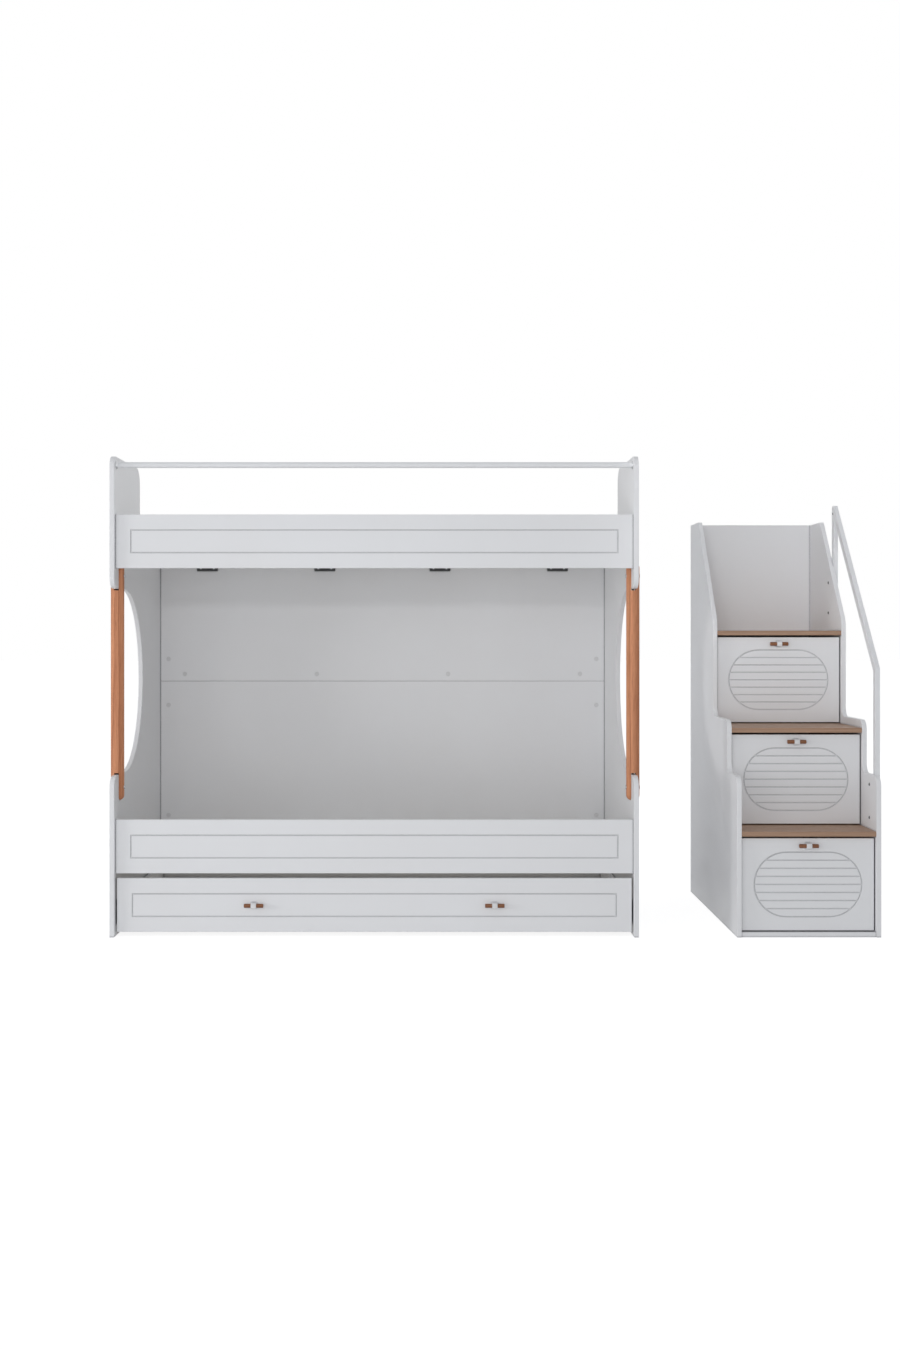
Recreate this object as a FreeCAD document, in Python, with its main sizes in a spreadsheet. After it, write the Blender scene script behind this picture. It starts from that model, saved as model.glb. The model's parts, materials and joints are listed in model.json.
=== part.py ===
"""Bunk bed with a trundle and free-standing storage stairs, as a parametric document in millimetres.

+X runs along the bed from its left end to the stairs, +Y runs from the front to the back, and +Z is up.
The origin lies on the floor, in the middle of the whole set.
"""
import FreeCAD, Part
import math
import operator
import os
import types

import Sketcher

# Driving sizes, in millimetres, and counts
SIZES = {
    # Boards
    "board": 18,
    "edge_round": 2,
    "cut_overrun": 5,
    # Bed ends
    "bed_inner_length": 1930,
    "bed_depth": 986,
    "bed_height": 1790,
    "tall_depth": 505,
    "tall_rise": 218,
    "front_top_round": 40,
    "rear_top_round": 60,
    "sill_round": 60,
    "window_bottom": 597,
    "window_top_drop": 275,
    "window_straight": 217,
    "lip_round": 45,
    # Rails and back boards
    "front_recess": 20,
    "rail_height": 200,
    "lower_rail_bottom": 235,
    "frame_inset": 58,
    "groove_width": 5,
    "groove_depth": 2.2,
    "groove_taper": 35,
    "seam_height": 923,
    "seam_gap": 0.4,
    # Guard tube
    "guard_diameter": 22,
    "guard_wall": 1.5,
    "guard_drop": 32,
    "guard_setback": 40,
    "socket_diameter": 30,
    "socket_length": 5,
    "socket_clearance": 0.1,
    # Wooden posts and their bolts
    "post_diameter": 50,
    "post_setback": 106,
    "post_lap": 98,
    "post_end_round": 19,
    "slot_clearance": 0.3,
    "shoulder_gap": 6,
    "bolt_diameter": 8,
    "bolt_head_diameter": 15,
    "bolt_head_height": 3.5,
    "bolt_clearance": 0.1,
    # Slatted bases and their brackets
    "upper_base_lift": 53,
    "lower_base_lift": 40,
    "bracket_width": 95,
    "bracket_foot_width": 88,
    "bracket_drop": 25,
    "bracket_shelf": 34,
    "bracket_plate": 3,
    "bracket_end_inset": 205,
    "bracket_spacing": 510,
    "bearer_width": 30,
    "bearer_height": 25,
    "slat_width": 70,
    "slat_thickness": 14,
    "slat_count": 14,
    "slat_end_margin": 60,
    "base_side_gap": 4,
    # Cam locks
    "cam_diameter": 15,
    "cam_length": 12,
    "cap_diameter": 18,
    "cap_rise": 1,
    "cam_clearance": 0.1,
    "cam_bolt_diameter": 6,
    "cam_bolt_seat": 10,
    "cam_setback": 36,
    "seam_cam_lift": 31,
    "seam_cam_end_inset": 107,
    "seam_cam_spacing": 573,
    "upper_cam_seam_rise": 96,
    "upper_cam_sill_drop": 72,
    "lower_cam_edge_rise": 106,
    "lower_cam_seam_drop": 104,
    "rail_cam_margin": 50,
    # Trundle
    "trundle_side_gap": 6,
    "trundle_floor_gap": 17,
    "trundle_front_height": 200,
    "trundle_back_gap": 56,
    "trundle_box_bottom": 40,
    "trundle_box_top": 134,
    "trundle_base": 16,
    "trundle_handle_inset": 517,
    # Casters
    "caster_height": 62,
    "wheel_diameter": 50,
    "wheel_width": 22,
    "wheel_round": 4,
    "axle_diameter": 8,
    "axle_clearance": 0.05,
    "fork_plate": 2.5,
    "fork_side_gap": 0.6,
    "fork_length": 46,
    "fork_leg_overhang": 9,
    "caster_end_inset": 150,
    "caster_edge_inset": 110,
    # Pull handles
    "handle_block": 20,
    "handle_reach": 28,
    "handle_dowel_diameter": 15,
    "handle_dowel_length": 72,
    "handle_dowel_standoff": 16,
    "dowel_end_round": 2,
    "dowel_clearance": 0.05,
    # Stairs
    "stair_gap": 364,
    "stair_inner_width": 500,
    "stair_depth": 1020,
    "riser": 374,
    "second_step_front": 190,
    "third_step_front": 487,
    "first_shoulder_rise": 206,
    "second_shoulder_rise": 31,
    "slope_foot_rise": 40,
    "stair_back_rise": 462,
    "top_ledge": 185,
    "shoulder_round": 38,
    "slope_foot_round": 80,
    "slope_head_round": 12,
    "tread_recess": 4,
    # Handrail
    "tube_width": 18,
    "tube_depth": 30,
    "tube_wall": 1.5,
    "handrail_setback": 78,
    "handrail_foot_rise": 8,
    "handrail_post": 598,
    "handrail_run": 627,
    "handrail_rise": 686,
    "handrail_top_round": 15,
    "handrail_bend_round": 10,
    "tube_edge_round": 1.2,
    "upright_foot_rise": 40,
    "cap_depth": 8,
    "cap_plate": 3,
    "cap_clearance": 0.2,
    "rail_screw_diameter": 6,
    "rail_screw_head": 11,
    "rail_screw_head_height": 2.5,
    "rail_screw_margin": 35,
    "rail_screw_spacing": 125,
    # Stair drawers
    "drawer_recess": 20,
    "drawer_side_gap": 3,
    "drawer_under_gap": 4,
    "drawer_over_gap": 8,
    "drawer_box_board": 15,
    "drawer_back_gap": 27,
    "drawer_box_height": 240,
    "drawer_box_lift": 24,
    "drawer_bottom_board": 8,
    "drawer_handle_drop": 27,
    "oval_width": 400,
    "oval_height": 240,
    "oval_line_count": 7,
    "runner_space": 12.5,
    "runner_height": 35,
    "runner_wall": 1.5,
    "runner_reach": 9,
    "runner_clearance": 0.3,
    "runner_lift": 70,
    "runner_front_gap": 2,
}

ALONG_X = FreeCAD.Rotation(FreeCAD.Vector(0, 1, 0), 90)
ALONG_Y = FreeCAD.Rotation(FreeCAD.Vector(1, 0, 0), -90)
ALONG_Z = FreeCAD.Rotation()
TAPER_UP = FreeCAD.Rotation(FreeCAD.Vector(1, 0, 0), 90)
NEAR = 0.001
X_AXIS = FreeCAD.Vector(1, 0, 0)
Y_AXIS = FreeCAD.Vector(0, 1, 0)

doc = FreeCAD.newDocument("bunk_bed")
sheet = doc.addObject("Spreadsheet::Sheet", "Sizes")
for row, (alias, number) in enumerate(SIZES.items(), start=1):
    sheet.set(f"A{row}", alias)
    sheet.set(f"B{row}", str(number))
    sheet.setAlias(f"B{row}", alias)
doc.recompute()


class Size:
    """A length that keeps its value beside the spreadsheet formula that gives it."""

    def __init__(self, value, text):
        self.value = value
        self.text = text

    def combine(self, other, sign, action, swapped=False):
        other = other if isinstance(other, Size) else Size(other, str(other))
        left, right = (other, self) if swapped else (self, other)
        return Size(action(left.value, right.value), f"({left.text} {sign} {right.text})")

    def __add__(self, other):
        return self.combine(other, "+", operator.add)

    def __sub__(self, other):
        return self.combine(other, "-", operator.sub)

    def __mul__(self, other):
        return self.combine(other, "*", operator.mul)

    def __truediv__(self, other):
        return self.combine(other, "/", operator.truediv)

    def __neg__(self):
        return self.combine(0, "-", operator.sub, swapped=True)


def root(size):
    """Square root of a size formula."""
    return Size(math.sqrt(size.value), f"sqrt({size.text})")


mm = types.SimpleNamespace(**{alias: Size(float(sheet.get(alias)), f"Sizes.{alias}") for alias in SIZES})
ZERO = Size(0.0, "0")
pieces = []


def keep(obj, name):
    """Mark an object as a finished piece of the furniture."""
    obj.Label = name
    pieces.append(obj)
    return obj


def bind(obj, **formulas):
    """Tie properties of an object to size formulas."""
    for prop, size in formulas.items():
        obj.setExpression(prop, size.text)
    return obj


def put(obj, place, turn=ALONG_Z):
    """Turn an object and tie its place to three size formulas."""
    obj.Placement = FreeCAD.Placement(FreeCAD.Vector(), turn)
    for axis, size in zip("xyz", place):
        obj.setExpression(f"Placement.Base.{axis}", size.text)
    return obj


def box(place, length, width, height):
    """Block with its low corner at a place."""
    block = doc.addObject("Part::Box", "block")
    bind(block, Length=length, Width=width, Height=height)
    return put(block, place)


def rod(place, diameter, length, turn):
    """Round rod from the middle of its first end."""
    bar = doc.addObject("Part::Cylinder", "rod")
    bind(bar, Radius=diameter / 2, Height=length)
    return put(bar, place, turn)


def group(objects):
    """Separate solids held in one object."""
    bundle = doc.addObject("Part::Compound", "group")
    bundle.Links = objects
    return bundle


def fuse(objects):
    """One solid from several that meet."""
    union = doc.addObject("Part::MultiFuse", "fuse")
    union.Shapes = objects
    return union


def cut(base, tools):
    """A base with several tools taken away."""
    result = doc.addObject("Part::Cut", "cut")
    result.Base = base
    result.Tool = group(tools)
    return result


def new_body():
    """Empty body for sketched features."""
    return doc.addObject("PartDesign::Body", "body")


def new_sketch(body, plane):
    """Sketch on one of a body's own origin planes."""
    sketch = body.newObject("Sketcher::SketchObject", "sketch")
    support = next(item for item in body.Origin.OriginFeatures if item.Role == plane)
    sketch.AttachmentSupport = [(support, "")]
    sketch.MapMode = "FlatFace"
    return sketch


def hold(sketch, geometry, point, place):
    """Hold a sketch point at one or two size formulas, across and up, from the sketch's origin."""
    for kind, axis, size in zip(("DistanceX", "DistanceY"), (-2, -1), place):
        if size is ZERO:
            sketch.addConstraint(Sketcher.Constraint("PointOnObject", geometry, point, axis))
            continue
        index = sketch.addConstraint(Sketcher.Constraint(kind, -1, 1, geometry, point, size.value))
        sketch.setExpression(f"Constraints[{index}]", size.text)


def draw_loop(sketch, corners):
    """Closed run of straight lines through held corners."""
    spots = [FreeCAD.Vector(x.value, y.value, 0) for x, y in corners]
    first = sketch.GeometryCount
    count = len(corners)
    for start, end in zip(spots, spots[1:] + spots[:1]):
        sketch.addGeometry(Part.LineSegment(start, end))
    for index in range(count):
        after = first + (index + 1) % count
        sketch.addConstraint(Sketcher.Constraint("Coincident", first + index, 2, after, 1))
    for index, corner in enumerate(corners):
        hold(sketch, first + index, 1, corner)


def draw_rectangle(sketch, low, high):
    """Rectangle between two held corners."""
    draw_loop(sketch, [low, (high[0], low[1]), high, (low[0], high[1])])


def draw_circle(sketch, centre, radius):
    """Circle with a held centre and radius."""
    spot = FreeCAD.Vector(centre[0].value, centre[1].value, 0)
    index = sketch.addGeometry(Part.Circle(spot, FreeCAD.Vector(0, 0, 1), radius.value))
    hold(sketch, index, 3, centre)
    rule = sketch.addConstraint(Sketcher.Constraint("Radius", index, radius.value))
    sketch.setExpression(f"Constraints[{rule}]", radius.text)


def draw_slot(sketch, centre, width, height):
    """Upright-ended slot outline: two half circles joined by level lines."""
    radius = height / 2
    reach = width / 2 - radius
    left = (centre[0] - reach, centre[1])
    right = (centre[0] + reach, centre[1])
    top = centre[1] + radius
    bottom = centre[1] - radius
    first = sketch.GeometryCount
    axis = FreeCAD.Vector(0, 0, 1)
    quarter = math.pi / 2
    for spot, turn in ((right, -quarter), (left, quarter)):
        circle = Part.Circle(FreeCAD.Vector(spot[0].value, spot[1].value, 0), axis, radius.value)
        sketch.addGeometry(Part.ArcOfCircle(circle, turn, turn + math.pi))
    for level, start, end in ((top, right, left), (bottom, left, right)):
        sketch.addGeometry(Part.LineSegment(FreeCAD.Vector(start[0].value, level.value, 0),
                                            FreeCAD.Vector(end[0].value, level.value, 0)))
    right_arc, left_arc, top_line, bottom_line = range(first, first + 4)
    around = (right_arc, top_line, left_arc, bottom_line)
    for start, end in zip(around, around[1:] + around[:1]):
        sketch.addConstraint(Sketcher.Constraint("Coincident", start, 2, end, 1))
    hold(sketch, top_line, 1, (right[0], top))
    hold(sketch, top_line, 2, (left[0], top))
    hold(sketch, bottom_line, 1, (left[0], bottom))
    hold(sketch, bottom_line, 2, (right[0], bottom))
    hold(sketch, right_arc, 3, right[:1])
    hold(sketch, left_arc, 3, left[:1])


def add_pad(body, sketch, length, reversed_side=False):
    """Solid pushed out of a sketch."""
    pad = body.newObject("PartDesign::Pad", "pad")
    pad.Profile = sketch
    bind(pad, Length=length)
    pad.Reversed = reversed_side
    sketch.Visibility = False
    doc.recompute()
    return pad


def add_pocket(body, sketch, depth, taper=None):
    """Cut pushed into a body from a sketch, checked to take material away."""
    before = body.Shape.Volume
    pocket = body.newObject("PartDesign::Pocket", "pocket")
    pocket.Profile = sketch
    bind(pocket, Length=depth)
    if taper is not None:
        bind(pocket, TaperAngle=-taper)
    doc.recompute()
    if body.Shape.Volume >= before:
        raise RuntimeError(f"a pocket of {body.Label} cuts nothing")
    return pocket


def add_round(body, edges, radius):
    """Round chosen edges of a body's newest feature."""
    base = body.Tip
    fillet = body.newObject("PartDesign::Fillet", "round")
    fillet.Base = (base, edges)
    bind(fillet, Radius=radius)
    doc.recompute()
    return fillet


def level_edges(body, spots):
    """Names of the edges along X that pass through given places, each (depth, height)."""
    names = []
    for index, edge in enumerate(body.Shape.Edges, start=1):
        start = edge.Vertexes[0].Point - body.Placement.Base
        end = edge.Vertexes[-1].Point - body.Placement.Base
        level = abs(start.y - end.y) < NEAR and abs(start.z - end.z) < NEAR
        for depth, height in spots:
            if level and abs(start.y - depth.value) < NEAR and abs(start.z - height.value) < NEAR:
                names.append(f"Edge{index}")
    return names


def broad_faces(body, axis):
    """Names of the two largest flat faces across an axis."""
    faces = []
    for index, face in enumerate(body.Shape.Faces, start=1):
        if isinstance(face.Surface, Part.Plane) and abs(face.Surface.Axis.dot(axis)) > 1 - NEAR:
            faces.append((face.Area, f"Face{index}"))
    return [name for area, name in sorted(faces)[-2:]]


def upright_panel(place, corners, thickness, rounds, eased=True):
    """Panel that stands front to back: an outline of (depth, height) corners, with rounded ones."""
    body = new_body()
    put(body, place)
    sketch = new_sketch(body, "YZ_Plane")
    draw_loop(sketch, corners)
    add_pad(body, sketch, thickness)
    for radius, spots in rounds:
        add_round(body, level_edges(body, spots), radius)
    if eased:
        add_round(body, broad_faces(body, X_AXIS), mm.edge_round)
    return body


def front_board(place, width, height, grooves):
    """Board that faces the front, with its low left front corner at a place and routed grooves."""
    body = new_body()
    put(body, place)
    sketch = new_sketch(body, "XZ_Plane")
    draw_rectangle(sketch, (ZERO, ZERO), (width, height))
    add_pad(body, sketch, mm.board, reversed_side=True)
    add_round(body, broad_faces(body, Y_AXIS), mm.edge_round)
    for draw_groove in grooves:
        lines = new_sketch(body, "XZ_Plane")
        draw_groove(lines)
        add_pocket(body, lines, mm.groove_depth, mm.groove_taper)
    return body


def frame_groove(width, height):
    """Routed rectangle at an even inset from a board's four edges."""
    def draw(sketch):
        near = mm.frame_inset - mm.groove_width / 2
        far = mm.frame_inset + mm.groove_width / 2
        draw_rectangle(sketch, (near, near), (width - near, height - near))
        draw_rectangle(sketch, (far, far), (width - far, height - far))
    return draw


# Places that many pieces share
post_stand = (mm.post_diameter - mm.board) / 2
bolt_stand = post_stand + mm.bolt_head_height
full_span = (bolt_stand + mm.bed_inner_length + mm.board * 4 + mm.stair_gap + mm.stair_inner_width
             + mm.tube_width)
handle_stand = mm.handle_reach - mm.front_recess
front_y = (handle_stand - mm.stair_depth) / 2
bed_outer_left = bolt_stand - full_span / 2
bed_left = bed_outer_left + mm.board
bed_right = bed_left + mm.bed_inner_length
bed_middle = bed_left + mm.bed_inner_length / 2
rail_y = front_y + mm.front_recess
rail_back_y = rail_y + mm.board
back_board_y = front_y + mm.bed_depth - mm.board
stair_outer_left = bed_right + mm.board + mm.stair_gap
stair_left = stair_outer_left + mm.board
stair_right = stair_left + mm.stair_inner_width
stair_outer_right = stair_right + mm.board
stair_middle = stair_left + mm.stair_inner_width / 2
sill_height = mm.bed_height - mm.tall_rise
upper_rail_bottom = sill_height - mm.rail_height
upper_base_height = upper_rail_bottom + mm.upper_base_lift
lower_base_height = mm.lower_rail_bottom + mm.lower_base_lift
window_top = sill_height - mm.window_top_drop
post_y = front_y + mm.post_setback
post_bottom = mm.window_bottom - mm.post_lap
post_top = window_top + mm.post_lap
bolt_heights = (mm.window_bottom - mm.post_lap / 2, window_top + mm.post_lap / 2)


def bolt_hole(x, height):
    """Cutter for a post bolt through a bed end at a height."""
    reach = mm.post_diameter + mm.cut_overrun * 2
    hole = mm.bolt_diameter + mm.bolt_clearance * 2
    return rod((x + mm.board / 2 - reach / 2, post_y, height), hole, reach, ALONG_X)


# Cam locks: a disc in a board's face, a bolt through the board's end, and a cap over the disc
cam_discs = []
cam_bolts = []
cam_caps = []


def cam_tools(face, spot, toward):
    """Make one cam lock and return the cutters for its board and for the piece it pulls on.

    face is the board's cam face in Y with the sign of the way into the board, spot is (x, z), and toward
    is the way to the joined piece as ("x" or "z", sign).
    """
    y, inward = face
    x, z = spot
    axis, sign, joint = toward
    disc_start = y + mm.cap_rise if inward > 0 else y - mm.cap_rise - mm.cam_length
    hole_start = y - mm.cut_overrun if inward > 0 else y - mm.cap_rise - mm.cam_length
    hole_length = mm.cap_rise + mm.cam_length + mm.cut_overrun
    bolt_y = y + mm.board / 2 if inward > 0 else y - mm.board / 2
    cap_start = y - mm.cap_rise if inward > 0 else y
    cam_discs.append(rod((x, disc_start, z), mm.cam_diameter, mm.cam_length, ALONG_Y))
    stem = rod((x, y if inward > 0 else y - mm.cap_rise, z), mm.cam_diameter, mm.cap_rise, ALONG_Y)
    cover = rod((x, cap_start, z), mm.cap_diameter, mm.cap_rise, ALONG_Y)
    cam_caps.append(fuse([stem, cover]))
    disc_hole = rod((x, hole_start, z), mm.cam_diameter + mm.cam_clearance * 2, hole_length, ALONG_Y)
    from_disc = mm.cam_diameter / 2 + mm.cam_clearance
    hole_size = mm.cam_bolt_diameter + mm.cam_clearance * 2
    if axis == "x" and sign > 0:
        seat = joint + mm.cam_bolt_seat
        start = x + from_disc
        cam_bolts.append(rod((start, bolt_y, z), mm.cam_bolt_diameter, seat - start, ALONG_X))
        holes = [rod((x, bolt_y, z), hole_size, seat - x, ALONG_X) for piece in range(2)]
    elif axis == "x":
        seat = joint - mm.cam_bolt_seat
        cam_bolts.append(rod((seat, bolt_y, z), mm.cam_bolt_diameter, x - from_disc - seat, ALONG_X))
        holes = [rod((seat, bolt_y, z), hole_size, x - seat, ALONG_X) for piece in range(2)]
    else:
        seat = joint - mm.cam_bolt_seat
        cam_bolts.append(rod((x, bolt_y, seat), mm.cam_bolt_diameter, z - from_disc - seat, ALONG_Z))
        holes = [rod((x, bolt_y, seat), hole_size, z - seat, ALONG_Z) for piece in range(2)]
    return disc_hole, *holes


end_cutters = {"left": [], "right": []}


def end_cams(face, height):
    """Cam locks at both ends of a board, at one height, and the cutters for that board."""
    cutters = []
    for side, x, sign, joint in (("left", bed_left + mm.cam_setback, -1, bed_left),
                                 ("right", bed_right - mm.cam_setback, 1, bed_right)):
        disc_hole, board_hole, end_hole = cam_tools(face, (x, height), ("x", sign, joint))
        cutters += [disc_hole, board_hole]
        end_cutters[side].append(end_hole)
    return cutters


# Front rails
def front_rail(name, bottom):
    """Rail between the bed ends with a routed frame and cam locks on its back."""
    rail = front_board((bed_left, rail_y, bottom), mm.bed_inner_length, mm.rail_height,
                       [frame_groove(mm.bed_inner_length, mm.rail_height)])
    cutters = []
    for height in (bottom + mm.rail_cam_margin, bottom + mm.rail_height - mm.rail_cam_margin):
        cutters += end_cams((rail_back_y, -1), height)
    keep(cut(rail, cutters), name)


front_rail("lower_front_rail", mm.lower_rail_bottom)
front_rail("upper_front_rail", upper_rail_bottom)

# Back boards, which meet at a seam between the bed ends
seam_low = mm.seam_height - mm.seam_gap / 2
seam_high = mm.seam_height + mm.seam_gap / 2
back_face = (back_board_y, 1)
lower_back = front_board((bed_left, back_board_y, mm.lower_rail_bottom), mm.bed_inner_length,
                         seam_low - mm.lower_rail_bottom, [])
upper_back = front_board((bed_left, back_board_y, seam_high), mm.bed_inner_length, sill_height - seam_high, [])
lower_cutters = end_cams(back_face, mm.lower_rail_bottom + mm.lower_cam_edge_rise)
lower_cutters += end_cams(back_face, mm.seam_height - mm.lower_cam_seam_drop)
upper_cutters = end_cams(back_face, mm.seam_height + mm.upper_cam_seam_rise)
upper_cutters += end_cams(back_face, sill_height - mm.upper_cam_sill_drop)
outer_cam = mm.bed_inner_length / 2 - mm.seam_cam_end_inset
inner_cam = outer_cam - mm.seam_cam_spacing
for offset in (-outer_cam, -inner_cam, inner_cam, outer_cam):
    spot = (bed_middle + offset, mm.seam_height + mm.seam_cam_lift)
    disc_hole, upper_hole, lower_hole = cam_tools(back_face, spot, ("z", -1, seam_low))
    upper_cutters += [disc_hole, upper_hole]
    lower_cutters.append(lower_hole)
keep(cut(lower_back, lower_cutters), "lower_back_board")
keep(cut(upper_back, upper_cutters), "upper_back_board")

# Bed ends: a tall front part, a low sill behind it and a round-ended window open to the front
window_radius = (window_top - mm.window_bottom) / 2


def bed_end(name, x, side):
    """One bed end with its window, rounded lips, bolt holes and cam bolt seats."""
    sill_y = mm.tall_depth
    corners = [(ZERO, ZERO), (mm.bed_depth, ZERO), (mm.bed_depth, sill_height), (sill_y, sill_height),
               (sill_y, mm.bed_height), (ZERO, mm.bed_height), (ZERO, window_top),
               (mm.window_straight, window_top), (mm.window_straight, mm.window_bottom),
               (ZERO, mm.window_bottom)]
    body = new_body()
    put(body, (x, front_y, ZERO))
    outline = new_sketch(body, "YZ_Plane")
    draw_loop(outline, corners)
    add_pad(body, outline, mm.board)
    window = new_sketch(body, "YZ_Plane")
    draw_circle(window, (mm.window_straight, mm.window_bottom + window_radius), window_radius)
    before = body.Shape.Volume
    pocket = body.newObject("PartDesign::Pocket", "window")
    pocket.Profile = window
    pocket.Reversed = True
    bind(pocket, Length=mm.board)
    doc.recompute()
    if body.Shape.Volume >= before:
        raise RuntimeError(f"the window of {name} cuts nothing")
    rounds = [(mm.front_top_round, [(ZERO, mm.bed_height)]), (mm.rear_top_round, [(sill_y, mm.bed_height)]),
              (mm.sill_round, [(sill_y, sill_height)]),
              (mm.lip_round, [(ZERO, window_top), (ZERO, mm.window_bottom)])]
    for radius, spots in rounds:
        add_round(body, level_edges(body, spots), radius)
    add_round(body, broad_faces(body, X_AXIS), mm.edge_round)
    holes = [bolt_hole(x, height) for height in bolt_heights]
    keep(cut(body, holes + end_cutters[side]), name)


bed_end("left_end_panel", bed_outer_left, "left")
bed_end("right_end_panel", bed_right, "right")


# Wooden posts: round bars that straddle the bed ends above and below the windows
def wooden_post(name, x):
    """Round post, slotted at both ends to straddle a bed end, with bolt holes."""
    body = new_body()
    put(body, (x + mm.board / 2, post_y, post_bottom))
    circle = new_sketch(body, "XY_Plane")
    draw_circle(circle, (ZERO, ZERO), mm.post_diameter / 2)
    add_pad(body, circle, post_top - post_bottom)
    rims = [f"Edge{index}" for index, edge in enumerate(body.Shape.Edges, start=1)
            if isinstance(edge.Curve, Part.Circle)]
    add_round(body, rims, mm.post_end_round)
    slot_width = mm.board + mm.slot_clearance * 2
    slot_depth = mm.post_lap + mm.shoulder_gap
    slot_length = mm.post_diameter + mm.cut_overrun * 2
    slots = []
    for low in (post_bottom - mm.cut_overrun, post_top - slot_depth):
        place = (x - mm.slot_clearance, post_y - mm.post_diameter / 2 - mm.cut_overrun, low)
        slots.append(box(place, slot_width, slot_length, slot_depth + mm.cut_overrun))
    keep(cut(body, slots + [bolt_hole(x, height) for height in bolt_heights]), name)


wooden_post("left_post", bed_outer_left)
wooden_post("right_post", bed_right)

# Post bolts: a shank through post and bed end with a flat head on both sides
bolts = []
for x in (bed_outer_left, bed_right):
    for height in bolt_heights:
        middle = x + mm.board / 2
        reach = mm.post_diameter / 2
        shank = rod((middle - reach, post_y, height), mm.bolt_diameter, reach * 2, ALONG_X)
        heads = [rod((start, post_y, height), mm.bolt_head_diameter, mm.bolt_head_height, ALONG_X)
                 for start in (middle - reach - mm.bolt_head_height, middle + reach)]
        bolts.append(fuse([shank] + heads))
keep(group(bolts), "post_bolts")

# Guard tube along the top, held in a socket at each end
guard_place = (bed_left, front_y + mm.guard_setback, mm.bed_height - mm.guard_drop)
tube = rod(guard_place, mm.guard_diameter, mm.bed_inner_length, ALONG_X)
bore_start = bed_left - mm.cut_overrun
bore = rod((bore_start, guard_place[1], guard_place[2]), mm.guard_diameter - mm.guard_wall * 2,
           mm.bed_inner_length + mm.cut_overrun * 2, ALONG_X)
keep(cut(tube, [bore]), "guard_tube")
sockets = []
for start in (bed_left, bed_right - mm.socket_length):
    ring = rod((start, guard_place[1], guard_place[2]), mm.socket_diameter, mm.socket_length, ALONG_X)
    eye = rod((start - mm.cut_overrun, guard_place[1], guard_place[2]),
              mm.guard_diameter + mm.socket_clearance * 2, mm.socket_length + mm.cut_overrun * 2, ALONG_X)
    sockets.append(cut(ring, [eye]))
keep(group(sockets), "guard_tube_sockets")


# Slatted bases: bearers on steel brackets, with slats across them
def bracket(x, wall_y, outward, top):
    """Folded steel bracket: a tapered plate on a wall and a shelf at its top."""
    half_top = mm.bracket_width / 2
    half_foot = mm.bracket_foot_width / 2
    plate = doc.addObject("Part::Wedge", "plate")
    bind(plate, Xmin=-half_foot, Xmax=half_foot, X2min=-half_top, X2max=half_top)
    bind(plate, Ymin=ZERO, Ymax=mm.bracket_drop, Zmin=ZERO, Zmax=mm.bracket_plate)
    bind(plate, Z2min=ZERO, Z2max=mm.bracket_plate)
    plate_y = wall_y + mm.bracket_plate if outward > 0 else wall_y
    put(plate, (x, plate_y, top - mm.bracket_drop), TAPER_UP)
    shelf_y = wall_y if outward > 0 else wall_y - mm.bracket_shelf
    shelf = box((x - half_top, shelf_y, top - mm.bracket_plate), mm.bracket_width, mm.bracket_shelf,
                mm.bracket_plate)
    return fuse([plate, shelf])


outer_bracket = mm.bed_inner_length / 2 - mm.bracket_end_inset
inner_bracket = outer_bracket - mm.bracket_spacing
brackets = []
for top in (lower_base_height, upper_base_height):
    for offset in (-outer_bracket, -inner_bracket, inner_bracket, outer_bracket):
        brackets.append(bracket(bed_middle + offset, rail_back_y, 1, top))
        brackets.append(bracket(bed_middle + offset, back_board_y, -1, top))
keep(group(brackets), "base_brackets")


def slatted_base(name, height):
    """Two bearers on the brackets and an even row of slats across them."""
    bearer_length = mm.bed_inner_length - mm.base_side_gap * 2
    bearers = []
    for y in (rail_back_y + mm.base_side_gap, back_board_y - mm.base_side_gap - mm.bearer_width):
        bearers.append(box((bed_left + mm.base_side_gap, y, height), bearer_length, mm.bearer_width,
                           mm.bearer_height))
    keep(group(bearers), f"{name}_base_bearers")
    count = int(mm.slat_count.value)
    pitch = (mm.bed_inner_length - mm.slat_end_margin * 2 - mm.slat_width) / (mm.slat_count - 1)
    slat_y = rail_back_y + mm.base_side_gap
    slat_length = back_board_y - mm.base_side_gap - slat_y
    slats = [box((bed_left + mm.slat_end_margin + pitch * index, slat_y, height + mm.bearer_height),
                 mm.slat_width, slat_length, mm.slat_thickness) for index in range(count)]
    keep(group(slats), f"{name}_base_slats")


slatted_base("lower", lower_base_height)
slatted_base("upper", upper_base_height)

keep(group(cam_discs + cam_bolts), "cam_locks")
keep(group(cam_caps), "cam_caps")


# Pull handles: a short round dowel through a square block
def turned_bar(place, diameter, length, end_round, turn):
    """Round bar with eased ends."""
    body = new_body()
    put(body, place, turn)
    circle = new_sketch(body, "XY_Plane")
    draw_circle(circle, (ZERO, ZERO), diameter / 2)
    add_pad(body, circle, length)
    rims = [f"Edge{index}" for index, edge in enumerate(body.Shape.Edges, start=1)
            if isinstance(edge.Curve, Part.Circle)]
    add_round(body, rims, end_round)
    return body


def pull_handle(x, face_y, z):
    """Dowel and block of one handle in the middle of a place on a front."""
    half = mm.handle_block / 2
    dowel_y = face_y - mm.handle_dowel_standoff
    block = box((x - half, face_y - mm.handle_reach, z - half), mm.handle_block, mm.handle_reach,
                mm.handle_block)
    bore = rod((x - half - mm.cut_overrun, dowel_y, z), mm.handle_dowel_diameter + mm.dowel_clearance * 2,
               mm.handle_block + mm.cut_overrun * 2, ALONG_X)
    dowel = turned_bar((x - mm.handle_dowel_length / 2, dowel_y, z), mm.handle_dowel_diameter,
                       mm.handle_dowel_length, mm.dowel_end_round, ALONG_X)
    return dowel, cut(block, [bore])


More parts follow.
